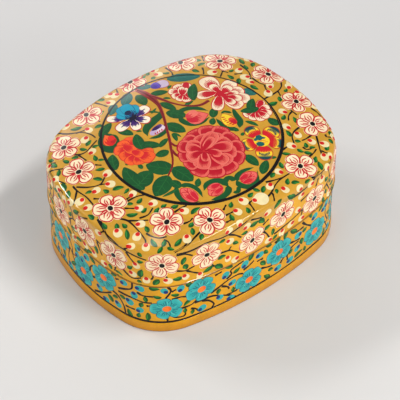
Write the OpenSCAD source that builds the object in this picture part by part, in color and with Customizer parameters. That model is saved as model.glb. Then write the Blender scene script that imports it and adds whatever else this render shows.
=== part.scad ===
// Papier mache box with a lift-off domed lid, in millimetres, +Z up.
// The origin is the centre of the underside, on the table.
// Length runs along X and width along Y.

/* [Outline in plan] */
// Length of the lid over its two short sides
box_l = 124; // [110:1:150]
// Width of the lid over its two long sides
box_w = 100; // [88:1:120]
// Radius of each long side, which bows out a little
long_side_r = 180; // [150:5:260]
// Radius of each short side, which bows out more
short_side_r = 105; // [85:5:160]
// Radius of the four corners
corner_r = 28; // [22:1:33]

/* [Heights] */
// Height of the closed box at the crown of its lid
box_h = 58.8; // [50:0.2:72]
// Height of the base's rim, where the lid sits
base_h = 30; // [24:0.5:36]
// Height of the plain band round the foot of the base
band_h = 5.6; // [3:0.2:9]
// Radius of the domed top
dome_r = 310; // [250:10:450]

/* [Walls] */
// Thickness of the pulp wall of the base
base_wall_t = 2.4; // [1.8:0.1:3.5]
// Thickness of the pulp board under the base
floor_t = 3; // [2:0.2:5]
// Thickness of the domed pulp panel of the lid
top_t = 2.6; // [1.8:0.1:4]
// Thickness of the painted tissue and gesso skin
skin_t = 0.4; // [0.3:0.05:0.8]
// Thickness of the black lining sheets
lining_t = 0.5; // [0.3:0.05:1]

/* [Collar that locates the lid] */
// Thickness of the collar strip
collar_t = 1.4; // [1:0.1:2.5]
// Height of the collar above the rim of the base
collar_rise = 9; // [5:0.5:14]

/* [Fits] */
// Gap between the collar and the inside of the lid
lid_fit = 0.4; // [0.2:0.05:0.8]
// Gap between the rims, under the resting lid
seam_gap = 0.2; // [0.1:0.05:0.4]
// Glue line between pieces that are stuck together
glue = 0.05; // [0.03:0.01:0.1]
// Set-back of the painted base behind the lid above it
base_step = 0.6; // [0.2:0.1:1.2]
// How far the foot band stands proud of the painted base
band_proud = 0.3; // [0.1:0.05:0.6]
// Gap round the edge of a lining sheet
lining_gap = 0.3; // [0.1:0.05:0.6]

/* [Hidden] */
$fn = 180;

// Colours of the finishes
pulp_grey = [0.62, 0.56, 0.46];
ochre = [0.86, 0.63, 0.22];
plain_gold = [0.88, 0.62, 0.20];
lacquer_black = [0.06, 0.05, 0.05];

// Insets from the lid's painted outline, working inwards
base_out = base_step;
base_core_out = base_out + skin_t + glue;
base_core_in = base_core_out + base_wall_t;
collar_out = base_core_in + glue;
collar_in = collar_out + collar_t;
lid_core_out = skin_t + glue;
lid_core_in = collar_out - lid_fit;

// Heights that follow from the rim
lid_z = base_h + seam_gap;
floor_top = floor_t + glue;
collar_top = base_h + collar_rise;

// Depths below the painted dome
panel_depth = skin_t + glue;
wall_depth = panel_depth + top_t + glue;
lining_depth = wall_depth + lining_t;

// Half sizes, and how far a cutting shape runs past what it cuts
half_l = box_l / 2;
half_w = box_w / 2;
cut_past = 1;

// The outline is eight arcs, each tangent to the next. These are the centres of the
// long and short sides, and of the corner in the +X +Y quarter.
long_centre = [0, half_w - long_side_r];
short_centre = [half_l - short_side_r, 0];
function tangent_centre(p, q, rp, rq) =
    let (apart = norm(q - p), along = (q - p) / apart)
    let (x = (rp * rp - rq * rq + apart * apart) / (2 * apart))
    p + x * along + sqrt(rp * rp - x * x) * [along.y, -along.x];
corner_centre = tangent_centre(long_centre, short_centre, long_side_r - corner_r,
                               short_side_r - corner_r);
long_half_angle = atan2(corner_centre.x, corner_centre.y - long_centre.y);
short_half_angle = atan2(corner_centre.y, corner_centre.x - short_centre.x);

// A disc at p and its mirror image through the origin, cut down to what they share
module lens(p, r) {
    intersection() {
        translate(p) circle(r);
        translate(-p) circle(r);
    }
}

// The outline, moved inwards by inset
module plan(inset) {
    long_r = long_side_r - inset;
    short_r = short_side_r - inset;
    intersection() {
        lens(long_centre, long_r);
        square([2 * long_r * sin(long_half_angle), box_w], center = true);
    }
    intersection() {
        lens(short_centre, short_r);
        square([box_l, 2 * short_r * sin(short_half_angle)], center = true);
    }
    for (sx = [-1, 1], sy = [-1, 1])
        translate([sx * corner_centre.x, sy * corner_centre.y]) circle(corner_r - inset);
}

// A flat plate of the outline between two heights
module plate(inset, z0, z1) {
    translate([0, 0, z0]) linear_extrude(z1 - z0) plan(inset);
}

// An upright wall that follows the outline, from the outer inset to the inner one
module ring(outer, inner, z0, z1) {
    difference() {
        plate(outer, z0, z1);
        plate(inner, z0 - cut_past, z1 + cut_past);
    }
}

// The ball whose crown is the top of the lid, at a depth below the paint
module ball(depth) {
    translate([0, 0, box_h - dome_r]) sphere(dome_r - depth);
}

// A domed sheet of the outline, between two depths below the paint
module domed_sheet(inset, depth0, depth1) {
    difference() {
        intersection() {
            plate(inset, lid_z, box_h + cut_past);
            ball(depth0);
        }
        ball(depth1);
    }
}

// An upright wall of the lid that ends under the dome
module lid_ring(outer, inner, depth) {
    intersection() {
        ring(outer, inner, lid_z, box_h + cut_past);
        ball(depth);
    }
}

module base_floor() {
    color(pulp_grey) plate(base_core_in + glue, 0, floor_t);
}

module base_wall() {
    color(pulp_grey) ring(base_core_out, base_core_in, 0, base_h);
}

module foot_band() {
    color(plain_gold) ring(base_out - band_proud, base_core_out - glue, 0, band_h);
}

module base_skin() {
    color(ochre) ring(base_out, base_core_out - glue, band_h + glue, base_h);
}

module base_collar() {
    color(lacquer_black) ring(collar_out, collar_in, floor_top, collar_top);
}

module floor_lining() {
    color(lacquer_black) plate(collar_in + lining_gap, floor_top, floor_top + lining_t);
}

module lid_wall() {
    color(pulp_grey) lid_ring(lid_core_out, lid_core_in, wall_depth);
}

module lid_wall_skin() {
    color(ochre) lid_ring(0, skin_t, panel_depth);
}

module lid_top() {
    color(pulp_grey) domed_sheet(lid_core_out, panel_depth, panel_depth + top_t);
}

module lid_top_skin() {
    color(ochre) domed_sheet(0, 0, skin_t);
}

module lid_lining() {
    color(lacquer_black) domed_sheet(lid_core_in + lining_gap, wall_depth, lining_depth);
}

base_floor();
base_wall();
foot_band();
base_skin();
base_collar();
floor_lining();
lid_wall();
lid_wall_skin();
lid_top();
lid_top_skin();
lid_lining();
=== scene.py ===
# %% [markdown]
# # A painted papier mache box
#
# Paper pulp is pressed over a mould, cut into a base and a lid, skinned with gesso and tissue, painted
# with very fine brushes and varnished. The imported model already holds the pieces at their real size.
# This lesson adds what the eye sees: smooth skins with a softened edge, and every brush stroke of the
# flowers as a thin slab of paint that lies on the skin, so that it survives any renderer.

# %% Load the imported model
import math

import bpy
import numpy as np
from mathutils import Matrix, Vector


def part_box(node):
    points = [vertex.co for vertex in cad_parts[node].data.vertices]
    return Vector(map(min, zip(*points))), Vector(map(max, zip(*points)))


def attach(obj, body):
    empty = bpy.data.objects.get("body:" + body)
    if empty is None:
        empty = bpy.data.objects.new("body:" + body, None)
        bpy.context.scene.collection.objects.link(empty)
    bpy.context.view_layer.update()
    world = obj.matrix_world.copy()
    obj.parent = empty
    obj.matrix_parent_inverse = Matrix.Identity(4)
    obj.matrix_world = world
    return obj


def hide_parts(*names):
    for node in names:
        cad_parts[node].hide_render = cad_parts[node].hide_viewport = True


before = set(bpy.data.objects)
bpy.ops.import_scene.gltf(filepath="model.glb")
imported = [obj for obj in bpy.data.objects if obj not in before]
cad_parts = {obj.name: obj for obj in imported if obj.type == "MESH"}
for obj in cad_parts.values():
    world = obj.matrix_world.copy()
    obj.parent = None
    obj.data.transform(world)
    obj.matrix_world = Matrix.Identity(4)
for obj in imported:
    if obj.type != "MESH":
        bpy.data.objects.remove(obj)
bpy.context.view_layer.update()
MM = 0.001


def corners(node):
    """Lowest and highest corners of a CAD node at rest, in millimetres."""
    low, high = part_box(node)
    return np.round(np.array(low) / MM, 2), np.round(np.array(high) / MM, 2)


# %% [markdown]
# ## Camera, light and floor
#
# The camera stands where the photograph was taken from: over the corner between the two front walls,
# well above the box, with a long lens. The varnish mirrors whatever is around it, so the lamps are
# placed for their reflections first. A wide panel behind the box puts the pale veil on the far part of
# the dome, two narrow softboxes put the white glints on the lid's edge, and a small one overhead leaves
# a faint patch over the front corner. The two low, broad lamps light the walls, and the varnish doesn't
# mirror them: from behind, at a low angle, they would turn the whole dome white.

# %% Camera
VIEW_AZIMUTH = math.radians(-37.9)
VIEW_ELEVATION = math.radians(46.7)
VIEW_DISTANCE = 1.1146
LENS_MM = 222.3
VIEW_SHIFT = (0.0212, -0.0338)
LOOK_AT = Vector((0, 0, 0.028))


def towards(azimuth, elevation):
    """Unit vector from the box to a place seen at an azimuth and an elevation, in radians."""
    flat = math.cos(elevation)
    return Vector((math.sin(azimuth) * flat, -math.cos(azimuth) * flat, math.sin(elevation)))


def facing(back, place):
    """Placement of a camera or lamp at place, looking along minus back, kept level."""
    right = Vector((-back.y, back.x, 0)).normalized()
    turn = Matrix((right, back.cross(right), back)).transposed()
    return Matrix.Translation(place) @ turn.to_4x4()


camera = bpy.data.objects.new("camera", bpy.data.cameras.new("camera"))
bpy.context.collection.objects.link(camera)
camera.data.lens = LENS_MM
camera.data.sensor_width = 36
camera.data.shift_x, camera.data.shift_y = VIEW_SHIFT
camera.data.clip_start = 0.01
view_back = towards(VIEW_AZIMUTH, VIEW_ELEVATION)
camera.matrix_world = facing(view_back, LOOK_AT + view_back * VIEW_DISTANCE)
bpy.context.scene.camera = camera
bpy.context.scene.view_settings.view_transform = "Standard"


# %% Lamps, world and floor
def softbox(name, azimuth, elevation, distance, width, height, radiance, tint=(1, 1, 1), roll=0,
            mirrored=True):
    """An area lamp aimed at the box. Its power follows from how bright its face should look."""
    lamp = bpy.data.lights.new(name, "AREA")
    lamp.shape = "RECTANGLE"
    lamp.size, lamp.size_y = width, height
    lamp.energy = radiance * math.pi * width * height
    lamp.color = tint
    holder = bpy.data.objects.new(name, lamp)
    bpy.context.collection.objects.link(holder)
    holder.visible_glossy = mirrored
    back = towards(math.radians(azimuth), math.radians(elevation))
    tilt = Matrix.Rotation(math.radians(roll), 4, "Z")
    holder.matrix_world = facing(back, LOOK_AT + back * distance) @ tilt


softbox("high_front_softbox", 31, 62, 0.9, 0.38, 0.045, 70)
softbox("back_left_softbox", -152, 43, 0.9, 0.32, 0.07, 38)
softbox("overhead_softbox", 166, 72, 0.9, 0.09, 0.045, 7, (0.9, 0.97, 1.0), 30)
softbox("veil_panel", 158, 30, 1.0, 0.9, 0.18, 3.0, (1.0, 0.94, 0.96), 33)
softbox("front_right_key", 8, 18, 1.1, 0.75, 0.55, 5.15, (1.0, 0.98, 0.95), mirrored=False)
softbox("left_fill", -84, 18, 1.1, 0.5, 0.45, 4.7, (1.0, 0.97, 0.92), mirrored=False)

SKY_COLOUR, SKY_STRENGTH = (0.93, 0.95, 1.0, 1), 0.19
world = bpy.data.worlds.new("studio")
world.use_nodes = True
world.node_tree.nodes["Background"].inputs["Color"].default_value = SKY_COLOUR
world.node_tree.nodes["Background"].inputs["Strength"].default_value = SKY_STRENGTH
bpy.context.scene.world = world

floor_mesh = bpy.data.meshes.new("floor")
FLOOR_REACH = 2.5
FLOOR_COLOUR, FLOOR_ROUGHNESS = (0.70, 0.69, 0.675, 1), 0.85
floor_mesh.from_pydata([(x, y, 0) for x, y in ((-FLOOR_REACH, -FLOOR_REACH), (FLOOR_REACH, -FLOOR_REACH),
                                               (FLOOR_REACH, FLOOR_REACH), (-FLOOR_REACH, FLOOR_REACH))],
                       [], [(0, 1, 2, 3)])
floor = bpy.data.objects.new("floor", floor_mesh)
bpy.context.collection.objects.link(floor)
floor_paint = bpy.data.materials.new("floor_paper")
floor_paint.use_nodes = True
floor_paint.node_tree.nodes["Principled BSDF"].inputs["Base Color"].default_value = FLOOR_COLOUR
floor_paint.node_tree.nodes["Principled BSDF"].inputs["Roughness"].default_value = FLOOR_ROUGHNESS
floor_mesh.materials.append(floor_paint)

# %% [markdown]
# ## The outline in plan
#
# Seen from above the box has eight arcs: four bowed sides and four round corners, each tangent to the
# next. Anything that follows the wall is given by its distance s along that outline, anticlockwise from
# the middle of the right-hand side, so a wall is drawn as flat paper and wrapped round afterwards.

# %% Eight tangent arcs
HALF_LENGTH, HALF_WIDTH = np.round(corners("lid_top_skin")[1][:2], 1)
LONG_SIDE_R = 180.0
SHORT_SIDE_R = 105.0
CORNER_R = 28.0

long_centre = np.array([0, HALF_WIDTH - LONG_SIDE_R])
short_centre = np.array([HALF_LENGTH - SHORT_SIDE_R, 0])
apart = np.linalg.norm(short_centre - long_centre)
along = (short_centre - long_centre) / apart
foot = ((LONG_SIDE_R - CORNER_R) ** 2 - (SHORT_SIDE_R - CORNER_R) ** 2 + apart**2) / (2 * apart)
rise = math.sqrt((LONG_SIDE_R - CORNER_R) ** 2 - foot**2)
corner_centre = long_centre + foot * along + rise * np.array([along[1], -along[0]])
long_half = math.atan2(corner_centre[0], corner_centre[1] - long_centre[1])
short_half = math.atan2(corner_centre[1], corner_centre[0] - short_centre[0])

quarter = math.pi / 2
arc_from = np.array([-short_half, short_half, quarter - long_half, quarter + long_half,
                     2 * quarter - short_half, 2 * quarter + short_half,
                     3 * quarter - long_half, 3 * quarter + long_half])
arc_radius = np.array([SHORT_SIDE_R, CORNER_R, LONG_SIDE_R, CORNER_R] * 2)
arc_centre = np.array([short_centre, corner_centre, long_centre, corner_centre * (-1, 1),
                       -short_centre, -corner_centre, -long_centre, corner_centre * (1, -1)])
arc_length = np.diff(np.append(arc_from, 4 * quarter - short_half)) * arc_radius
arc_end = np.cumsum(arc_length)
PERIMETER = arc_end[-1]


def outline_at(s):
    """The outline's point and outward normal at s mm along it: centre plus radius times the normal."""
    s = np.mod(np.asarray(s, float) + SHORT_SIDE_R * short_half, PERIMETER)
    arc = np.minimum(np.searchsorted(arc_end, s, side="right"), 7)
    angle = arc_from[arc] + (s - arc_end[arc] + arc_length[arc]) / arc_radius[arc]
    normal = np.stack([np.cos(angle), np.sin(angle)], -1)
    return arc_centre[arc] + arc_radius[arc][..., None] * normal, normal


def nearest_on_outline(plan):
    """For points in plan: the outline's nearest point, its normal, and how far outside they lie."""
    sign = np.where(plan < 0, -1.0, 1.0)
    folded = np.abs(plan)
    bearing = np.arctan2(folded[..., 1] - corner_centre[1], folded[..., 0] - corner_centre[0])
    on_short = bearing < short_half
    on_long = bearing > quarter - long_half
    centre = np.where(on_long[..., None], long_centre, corner_centre)
    centre = np.where(on_short[..., None], short_centre, centre)
    radius = np.where(on_short, SHORT_SIDE_R, np.where(on_long, LONG_SIDE_R, CORNER_R))
    out = folded - centre
    reach = np.linalg.norm(out, axis=-1)
    normal = out / reach[..., None]
    return (centre + radius[..., None] * normal) * sign, normal * sign, reach - radius


print(f"outline: {2 * HALF_LENGTH:.1f} x {2 * HALF_WIDTH:.1f} mm, {PERIMETER:.1f} mm round")

# %% [markdown]
# ## The lid's surface
#
# The dome is a cap of a large ball and the wall is upright. Where they meet the real edge is worn and
# filled with varnish, so it is drawn as a short parabola that leaves each face along its own tangent.
# One function gives every layer of the lid, and it also tells the paint where to go.

# %% Dome, softened edge and wall
CROWN = corners("lid_top_skin")[1][2]
DOME_R = 310.0
LID_FOOT = corners("lid_wall_skin")[0][2]
BASE_RIM = corners("base_wall")[1][2]
BASE_INSET = round(HALF_LENGTH - corners("base_skin")[1][0], 2)
EDGE_ON_SHORT_SIDES, EDGE_ON_LONG_SIDES, EDGE_ON_CORNERS = 2.2, 1.6, 3.6
WAVER = 0.09
LEDGE_OUT = 0.35
LEDGE_LOW, LEDGE_HIGH = LID_FOOT + 0.55, LID_FOOT + 0.75


def ball_height(plan, depth=0.0):
    """Height of the dome over a point in plan, depth mm under the paint."""
    return CROWN - DOME_R + np.sqrt((DOME_R - depth) ** 2 - (plan**2).sum(-1))


def hand_made(points):
    """How far the lid stands out: three slow waves that never quite repeat, and the ledge at its foot."""
    x, y, z = points[..., 0], points[..., 1], points[..., 2]
    waves = (np.sin(x / 7.3 + y / 11 + z / 9) + np.sin(y / 5.9 - x / 13 + 1.7)
             + np.sin((x + z) / 4.7 - y / 6.1))
    return WAVER / 3 * waves + LEDGE_OUT * np.clip((LEDGE_HIGH - z) / (LEDGE_HIGH - LEDGE_LOW), 0, 1)


def held(height, low, high):
    """Heights kept between two levels: what lies past one is pressed to a twentieth beyond it."""
    inside = np.clip(height, low, high)
    return inside + 0.05 * (height - inside)


def lid_surface(rim, normal, past, depth=0.0):
    """Points and normals of the lid's skin, or of a layer depth mm inside it.

    rim and normal are the outline's own. past is how far a point lies beyond the edge: down the wall
    if positive, in over the dome if negative. Within the softened stretch the point is the parabola
    (1-t)^2 A + 2t(1-t) B + t^2 C, from A on the dome over the sharp edge B to C on the wall.
    """
    rim = rim - normal * depth
    share = normal[..., 0] ** 2
    on_sides = EDGE_ON_SHORT_SIDES * share + EDGE_ON_LONG_SIDES * (1 - share)
    at_corner = (EDGE_ON_SHORT_SIDES + EDGE_ON_LONG_SIDES) / 2
    soft = on_sides + (EDGE_ON_CORNERS - at_corner) * 4 * share * (1 - share)
    in_plan = rim + normal * np.minimum(past, 0)[..., None]
    on_dome = np.concatenate([in_plan, ball_height(in_plan, depth)[..., None]], -1)
    edge = np.concatenate([rim, ball_height(rim, depth)[..., None]], -1)
    flat = np.concatenate([normal, np.zeros_like(normal[..., :1])], -1)
    up = np.array([0, 0, 1.0])
    on_wall = edge - up * np.maximum(past, 0)[..., None]
    start_plan = rim - normal * soft[..., None]
    start = np.concatenate([start_plan, ball_height(start_plan, depth)[..., None]], -1)
    end = edge - up * soft[..., None]
    t = np.clip((past + soft) / (2 * soft), 0, 1)[..., None]
    bent = (1 - t) ** 2 * start + 2 * t * (1 - t) * edge + t**2 * end
    along_bend = (1 - t) * (edge - start) + t * (end - edge)
    side = np.cross(up, flat)
    bend_normal = np.cross(side, along_bend)
    bend_normal /= -np.maximum(np.linalg.norm(bend_normal, axis=-1, keepdims=True), 1e-9)
    ball_normal = on_dome - np.array([0, 0, CROWN - DOME_R])
    ball_normal /= np.linalg.norm(ball_normal, axis=-1, keepdims=True)
    on_bend = (np.abs(past) < soft)[..., None]
    inner = (past <= 0)[..., None]
    point = np.where(on_bend, bent, np.where(inner, on_dome, on_wall))
    out = np.where(on_bend, bend_normal, np.where(inner, ball_normal, flat))
    return point, out


def on_lid_top(plan):
    """Wrap points in plan over the lid: those past the outline fold down the wall."""
    rim, normal, past = nearest_on_outline(plan)
    point, out = lid_surface(rim, normal, past)
    return point + out * hand_made(point)[..., None], out


def on_lid_wall(paper):
    """Wrap paper that reads (distance round, height) onto the lid's wall and over its edge."""
    rim, normal = outline_at(paper[..., 0])
    point, out = lid_surface(rim, normal, ball_height(rim) - held(paper[..., 1], LID_FOOT + 0.25, CROWN))
    return point + out * hand_made(point)[..., None], out


def on_base_wall(paper):
    """Wrap paper that reads (distance round, height) onto the base's painted wall."""
    rim, normal = outline_at(paper[..., 0])
    height = held(paper[..., 1:], 0, BASE_RIM - 0.2)
    point = np.concatenate([rim - normal * BASE_INSET, height], -1)
    return point, np.concatenate([normal, np.zeros_like(height)], -1)


# %% [markdown]
# ## Turning rows of points into closed pieces
#
# Every piece of the box is a section carried round the outline. The section is a row of points for each
# station, so the whole piece is one array, rows by stations. A ring closes on itself, and a plate or a
# shell closes with a pole in the middle of each face.

# %% Sweeps
STATIONS = 420
CRISP_DEGREES = 40
EASE_STEPS = 4
EASE_LIMIT = 2.2
SECTION_PITCH = 3.0
station_s = np.linspace(0, PERIMETER, STATIONS, endpoint=False)
station_rim, station_normal = outline_at(station_s)


def finish_mesh(name, points, faces):
    """Make the object from points in millimetres, smooth but for edges over CRISP_DEGREES."""
    mesh = bpy.data.meshes.new(name)
    mesh.from_pydata((points * MM).tolist(), [], faces)
    if mesh.validate():
        print("repaired faces in", name)
    mesh.shade_smooth()
    mesh.set_sharp_from_angle(angle=math.radians(CRISP_DEGREES))
    piece = bpy.data.objects.new(name, mesh)
    bpy.context.collection.objects.link(piece)
    return piece


def sweep(name, rows, poles=False):
    """Join rows of stations into a closed surface, as a ring or with a pole at each end."""
    count, stations = rows.shape[:2]
    across = np.arange(stations)
    after = np.roll(across, -1)
    steps = count - 1 if poles else count
    low = np.arange(steps)[:, None] * stations
    high = (np.arange(1, steps + 1) % count)[:, None] * stations
    quads = np.stack([low + across, low + after, high + after, high + across], -1).reshape(-1, 4)
    points, faces = rows.reshape(-1, 3), quads.tolist()
    if poles:
        first, last = len(points), len(points) + 1
        points = np.vstack([points, rows[0].mean(0), rows[-1].mean(0)])
        top = (count - 1) * stations
        faces += np.stack([after, across, np.full(stations, first)], -1).tolist()
        faces += np.stack([top + across, top + after, np.full(stations, last)], -1).tolist()
    return finish_mesh(name, points, faces)


def eased(section, radius):
    """Round each corner of a closed section (inset, height) with a parabola of that reach."""
    section = np.array(section, float)
    back = np.roll(section, 1, axis=0) - section
    ahead = np.roll(section, -1, axis=0) - section
    reach_back = np.minimum(radius, np.linalg.norm(back, axis=1) / EASE_LIMIT)
    reach_ahead = np.minimum(radius, np.linalg.norm(ahead, axis=1) / EASE_LIMIT)
    start = section + back / np.linalg.norm(back, axis=1)[:, None] * reach_back[:, None]
    end = section + ahead / np.linalg.norm(ahead, axis=1)[:, None] * reach_ahead[:, None]
    t = np.linspace(0, 1, EASE_STEPS)[None, :, None]
    return ((1 - t) ** 2 * start[:, None] + 2 * t * (1 - t) * section[:, None]
            + t**2 * end[:, None]).reshape(-1, 2)


def filled(section, pitch):
    """Add points along a closed section so that no step is longer than pitch."""
    ahead = np.roll(section, -1, axis=0)
    counts = np.maximum(np.ceil(np.linalg.norm(ahead - section, axis=1) / pitch).astype(int), 1)
    pieces = [a + (b - a) * np.linspace(0, 1, n, endpoint=False)[:, None]
              for a, b, n in zip(section, ahead, counts)]
    return np.vstack(pieces)


def ring(name, section, radius):
    """A wall that follows the outline. The section runs up the outside and down the inside."""
    section = filled(eased(section, radius), SECTION_PITCH)
    inset, height = section[:, 0, None, None], section[:, 1, None, None]
    plan = station_rim - station_normal * inset
    return sweep(name, np.concatenate([plan, np.broadcast_to(height, plan[..., :1].shape)], -1))


def shares(count):
    """Even shares from 1 at the edge towards 0 at the middle, without the middle itself."""
    return np.linspace(1, 0, count, endpoint=False)


# %% [markdown]
# ## The construction, piece by piece
#
# Each piece takes the place of one CAD solid and keeps its size from the frame. The skins are the only
# ones seen with the lid on, but the collar, linings and pulp show when it is lifted off.

# %% Base pieces
DISC_ROWS = 14
PLATE_LAP = 4


def plate(name, node, ease):
    """A flat sheet of the outline: out along the underside, up the edge and back over the top."""
    low, high = corners(node)
    inset = HALF_LENGTH - high[0]
    scale = shares(DISC_ROWS)[::-1, None, None]
    lap = inset + PLATE_LAP
    section = [(lap, low[2]), (inset, low[2]), (inset, high[2]), (lap, high[2])]
    edge = eased(section, ease)[EASE_STEPS:3 * EASE_STEPS]
    turn = [np.concatenate([station_rim - station_normal * i, np.full((STATIONS, 1), z)], -1)
            for i, z in edge]
    under = np.broadcast_to(turn[0], (DISC_ROWS, STATIONS, 3)) * (1, 1, 1)
    under[..., :2] *= scale
    over = np.broadcast_to(turn[-1], (DISC_ROWS, STATIONS, 3)) * (1, 1, 1)
    over[..., :2] *= scale[::-1]
    return sweep(name, np.concatenate([under[:-1], np.array(turn), over[1:]]), poles=True)


def upright(name, node, outer, inner, radius):
    """A ring with the height of a CAD node and its own outer and inner insets."""
    low, high = corners(node)
    return ring(name, [(outer, low[2]), (outer, high[2]), (inner, high[2]), (inner, low[2])], radius)


def inset_of(node):
    """How far a node's outer face lies inside the lid's outline."""
    return round(HALF_LENGTH - corners(node)[1][0], 2)


base_board = plate("pulp_floor", "base_floor", 0.4)
floor_sheet = plate("black_floor_sheet", "floor_lining", 0.15)
wall_core = inset_of("base_wall")
collar_outer = inset_of("base_collar")
GLUE = 0.05
base_core = upright("pulp_wall", "base_wall", wall_core, collar_outer - GLUE, 0.5)
foot_strip = upright("foot_strip", "foot_band", inset_of("foot_band"), wall_core - GLUE, 0.45)
base_shell = upright("painted_base_skin", "base_skin", BASE_INSET, wall_core - GLUE, 0.18)
COLLAR_T = 1.4
collar = upright("locating_collar", "base_collar", collar_outer, collar_outer + COLLAR_T, 0.6)

# %% [markdown]
# The lid's skin runs in one sheet from its foot over the soft edge to the crown. Rows near the edge are
# close together, because that is where the light turns. The pulp under it follows the same softening.


# %% Lid pieces
BEND = 4.2
CLIMB_ROWS = 10
CLIMB_FROM = 0.96


def lid_rows(depth, foot, bend_rows=40, dome_rows=44):
    """Rows from the foot of the lid's wall up over the edge and in towards the crown."""
    rim = station_rim - station_normal * depth
    edge_height = ball_height(rim, depth)
    ledge = edge_height - np.array([foot, LEDGE_LOW, LEDGE_HIGH])[:, None]
    share = np.linspace(CLIMB_FROM, 0, CLIMB_ROWS, endpoint=False)[:, None]
    climb = share * (edge_height - foot - BEND) + BEND
    bend = np.linspace(BEND, -BEND, bend_rows)[:, None] * np.ones(STATIONS)
    past = np.concatenate([ledge, climb, bend])
    shape = past.shape + (2,)
    point, out = lid_surface(np.broadcast_to(station_rim, shape), np.broadcast_to(station_normal, shape),
                             past, depth)
    last = point[-1, :, :2]
    plan = last * shares(dome_rows)[1:, None, None]
    dome = np.concatenate([plan, ball_height(plan, depth)[..., None]], -1)
    ball = dome - np.array([0, 0, CROWN - DOME_R])
    ball /= np.linalg.norm(ball, axis=-1, keepdims=True)
    return np.concatenate([point, dome]), np.concatenate([out, ball])


SKIN_T = 0.4
outside, outside_normal = lid_rows(0, LID_FOOT)
outside = outside + outside_normal * hand_made(outside)[..., None]
inside, _ = lid_rows(SKIN_T, LID_FOOT, bend_rows=16, dome_rows=30)
lid_shell = sweep("painted_lid_skin", np.concatenate([inside[::-1], outside]), poles=True)

TOP_T = 2.6
LINING_T = 0.5
EDGE_ROWS = 5
EDGE_REACH = 2.0
SHEET_ROWS = 30
panel_inset = inset_of("lid_top")
panel_depth = round(CROWN - corners("lid_top")[1][2], 2)
under_depth = panel_depth + TOP_T


def domed_plate(name, inset, depth_over, depth_under):
    """A sheet between two depths under the dome, its upper edge softened like the skin over it."""
    plan_edge = station_rim - station_normal * inset
    wall = np.linspace(0, 1, EDGE_ROWS)[:, None]
    bottom = ball_height(plan_edge, depth_under)[None, :]
    past = (ball_height(plan_edge, inset) - bottom) * (1 - wall) - EDGE_REACH * wall
    shape = past.shape + (2,)
    edge, _ = lid_surface(np.broadcast_to(station_rim, shape), np.broadcast_to(station_normal, shape),
                          past, inset)
    edge[..., 2] -= depth_over - inset
    edge[..., 2] = np.maximum(edge[..., 2], bottom)
    top_plan = edge[-1, :, :2] * shares(SHEET_ROWS)[1:, None, None]
    top = np.concatenate([top_plan, ball_height(top_plan, depth_over)[..., None]], -1)
    under_plan = plan_edge * shares(SHEET_ROWS)[::-1, None, None]
    under = np.concatenate([under_plan, ball_height(under_plan, depth_under)[..., None]], -1)
    return sweep(name, np.concatenate([under, edge[1:], top]), poles=True)


lid_board = domed_plate("pulp_dome", panel_inset, panel_depth, under_depth)
lining_inset = inset_of("lid_lining")
lining_over = round(CROWN - corners("lid_lining")[1][2], 2)


def dished_sheet(name, inset, depth_over, depth_under):
    """A thin sheet under the dome, out along its lower face and back over its upper one."""
    plan_edge = station_rim - station_normal * inset
    out_plan = plan_edge * shares(SHEET_ROWS)[::-1, None, None]
    lower = np.concatenate([out_plan, ball_height(out_plan, depth_under)[..., None]], -1)
    back_plan = out_plan[::-1]
    upper = np.concatenate([back_plan, ball_height(back_plan, depth_over)[..., None]], -1)
    return sweep(name, np.concatenate([lower, upper]), poles=True)


lid_sheet = dished_sheet("black_dome_sheet", lining_inset, lining_over, lining_over + LINING_T)

LID_FIT = 0.4
lid_wall_outer = inset_of("lid_wall")
lid_wall_inner = collar_outer - LID_FIT
rim_height = ball_height(station_rim - station_normal * lid_wall_outer, under_depth + GLUE)
inner_height = ball_height(station_rim - station_normal * lid_wall_inner, under_depth + GLUE)
WALL_ROWS = 9
up_share = np.linspace(0, 1, WALL_ROWS)[:, None, None]


def wall_face(inset, top, share):
    """One face of the lid's wall, from its foot up to the underside of the dome."""
    plan = np.broadcast_to(station_rim - station_normal * inset, (len(share), STATIONS, 2))
    return np.concatenate([plan, LID_FOOT + (top[:, None] - LID_FOOT) * share], -1)


lid_core = sweep("pulp_lid_wall", np.concatenate([wall_face(lid_wall_outer, rim_height, up_share),
                                                  wall_face(lid_wall_inner, inner_height, up_share[::-1])]))

# %% [markdown]
# ## A brush stroke
#
# A stroke is a small grid of points: a spine, moved sideways by up to half its width. A petal, a leaf
# and a hairline differ only in how the width swells. Strokes are drawn on flat paper in millimetres,
# each with a colour at every point and a layer, and are wrapped onto the box together.

# %% Shapes on paper
ROWS = 11
ease_t = 0.5 - 0.5 * np.cos(np.linspace(0, math.pi, ROWS))
T = 0.004 + 0.992 * ease_t


def swell(peak=0.55, point=0.75):
    """Width along a stroke, 0 at the ends and 1 at its peak: t^a (1-t)^b, scaled to 1."""
    b = point * (1 - peak) / peak
    return (T / peak) ** point * ((1 - T) / (1 - peak)) ** b


def line_through(points, rows=ROWS):
    """A smooth curve through a few points: a Catmull-Rom spline, read at even steps."""
    p = np.array(points, float)
    if len(p) == 2:
        return p[0] + (p[1] - p[0]) * np.linspace(0, 1, rows)[:, None]
    p = np.vstack([2 * p[0] - p[1], p, 2 * p[-1] - p[-2]])
    u = np.linspace(0, len(p) - 3 - 1e-9, rows)
    k = u.astype(int)
    f = (u - k)[:, None]
    a, b, c, d = p[k], p[k + 1], p[k + 2], p[k + 3]
    return 0.5 * (2 * b + (c - a) * f + (2 * a - 5 * b + 4 * c - d) * f**2 + (3 * b - a - 3 * c + d) * f**3)


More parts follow.
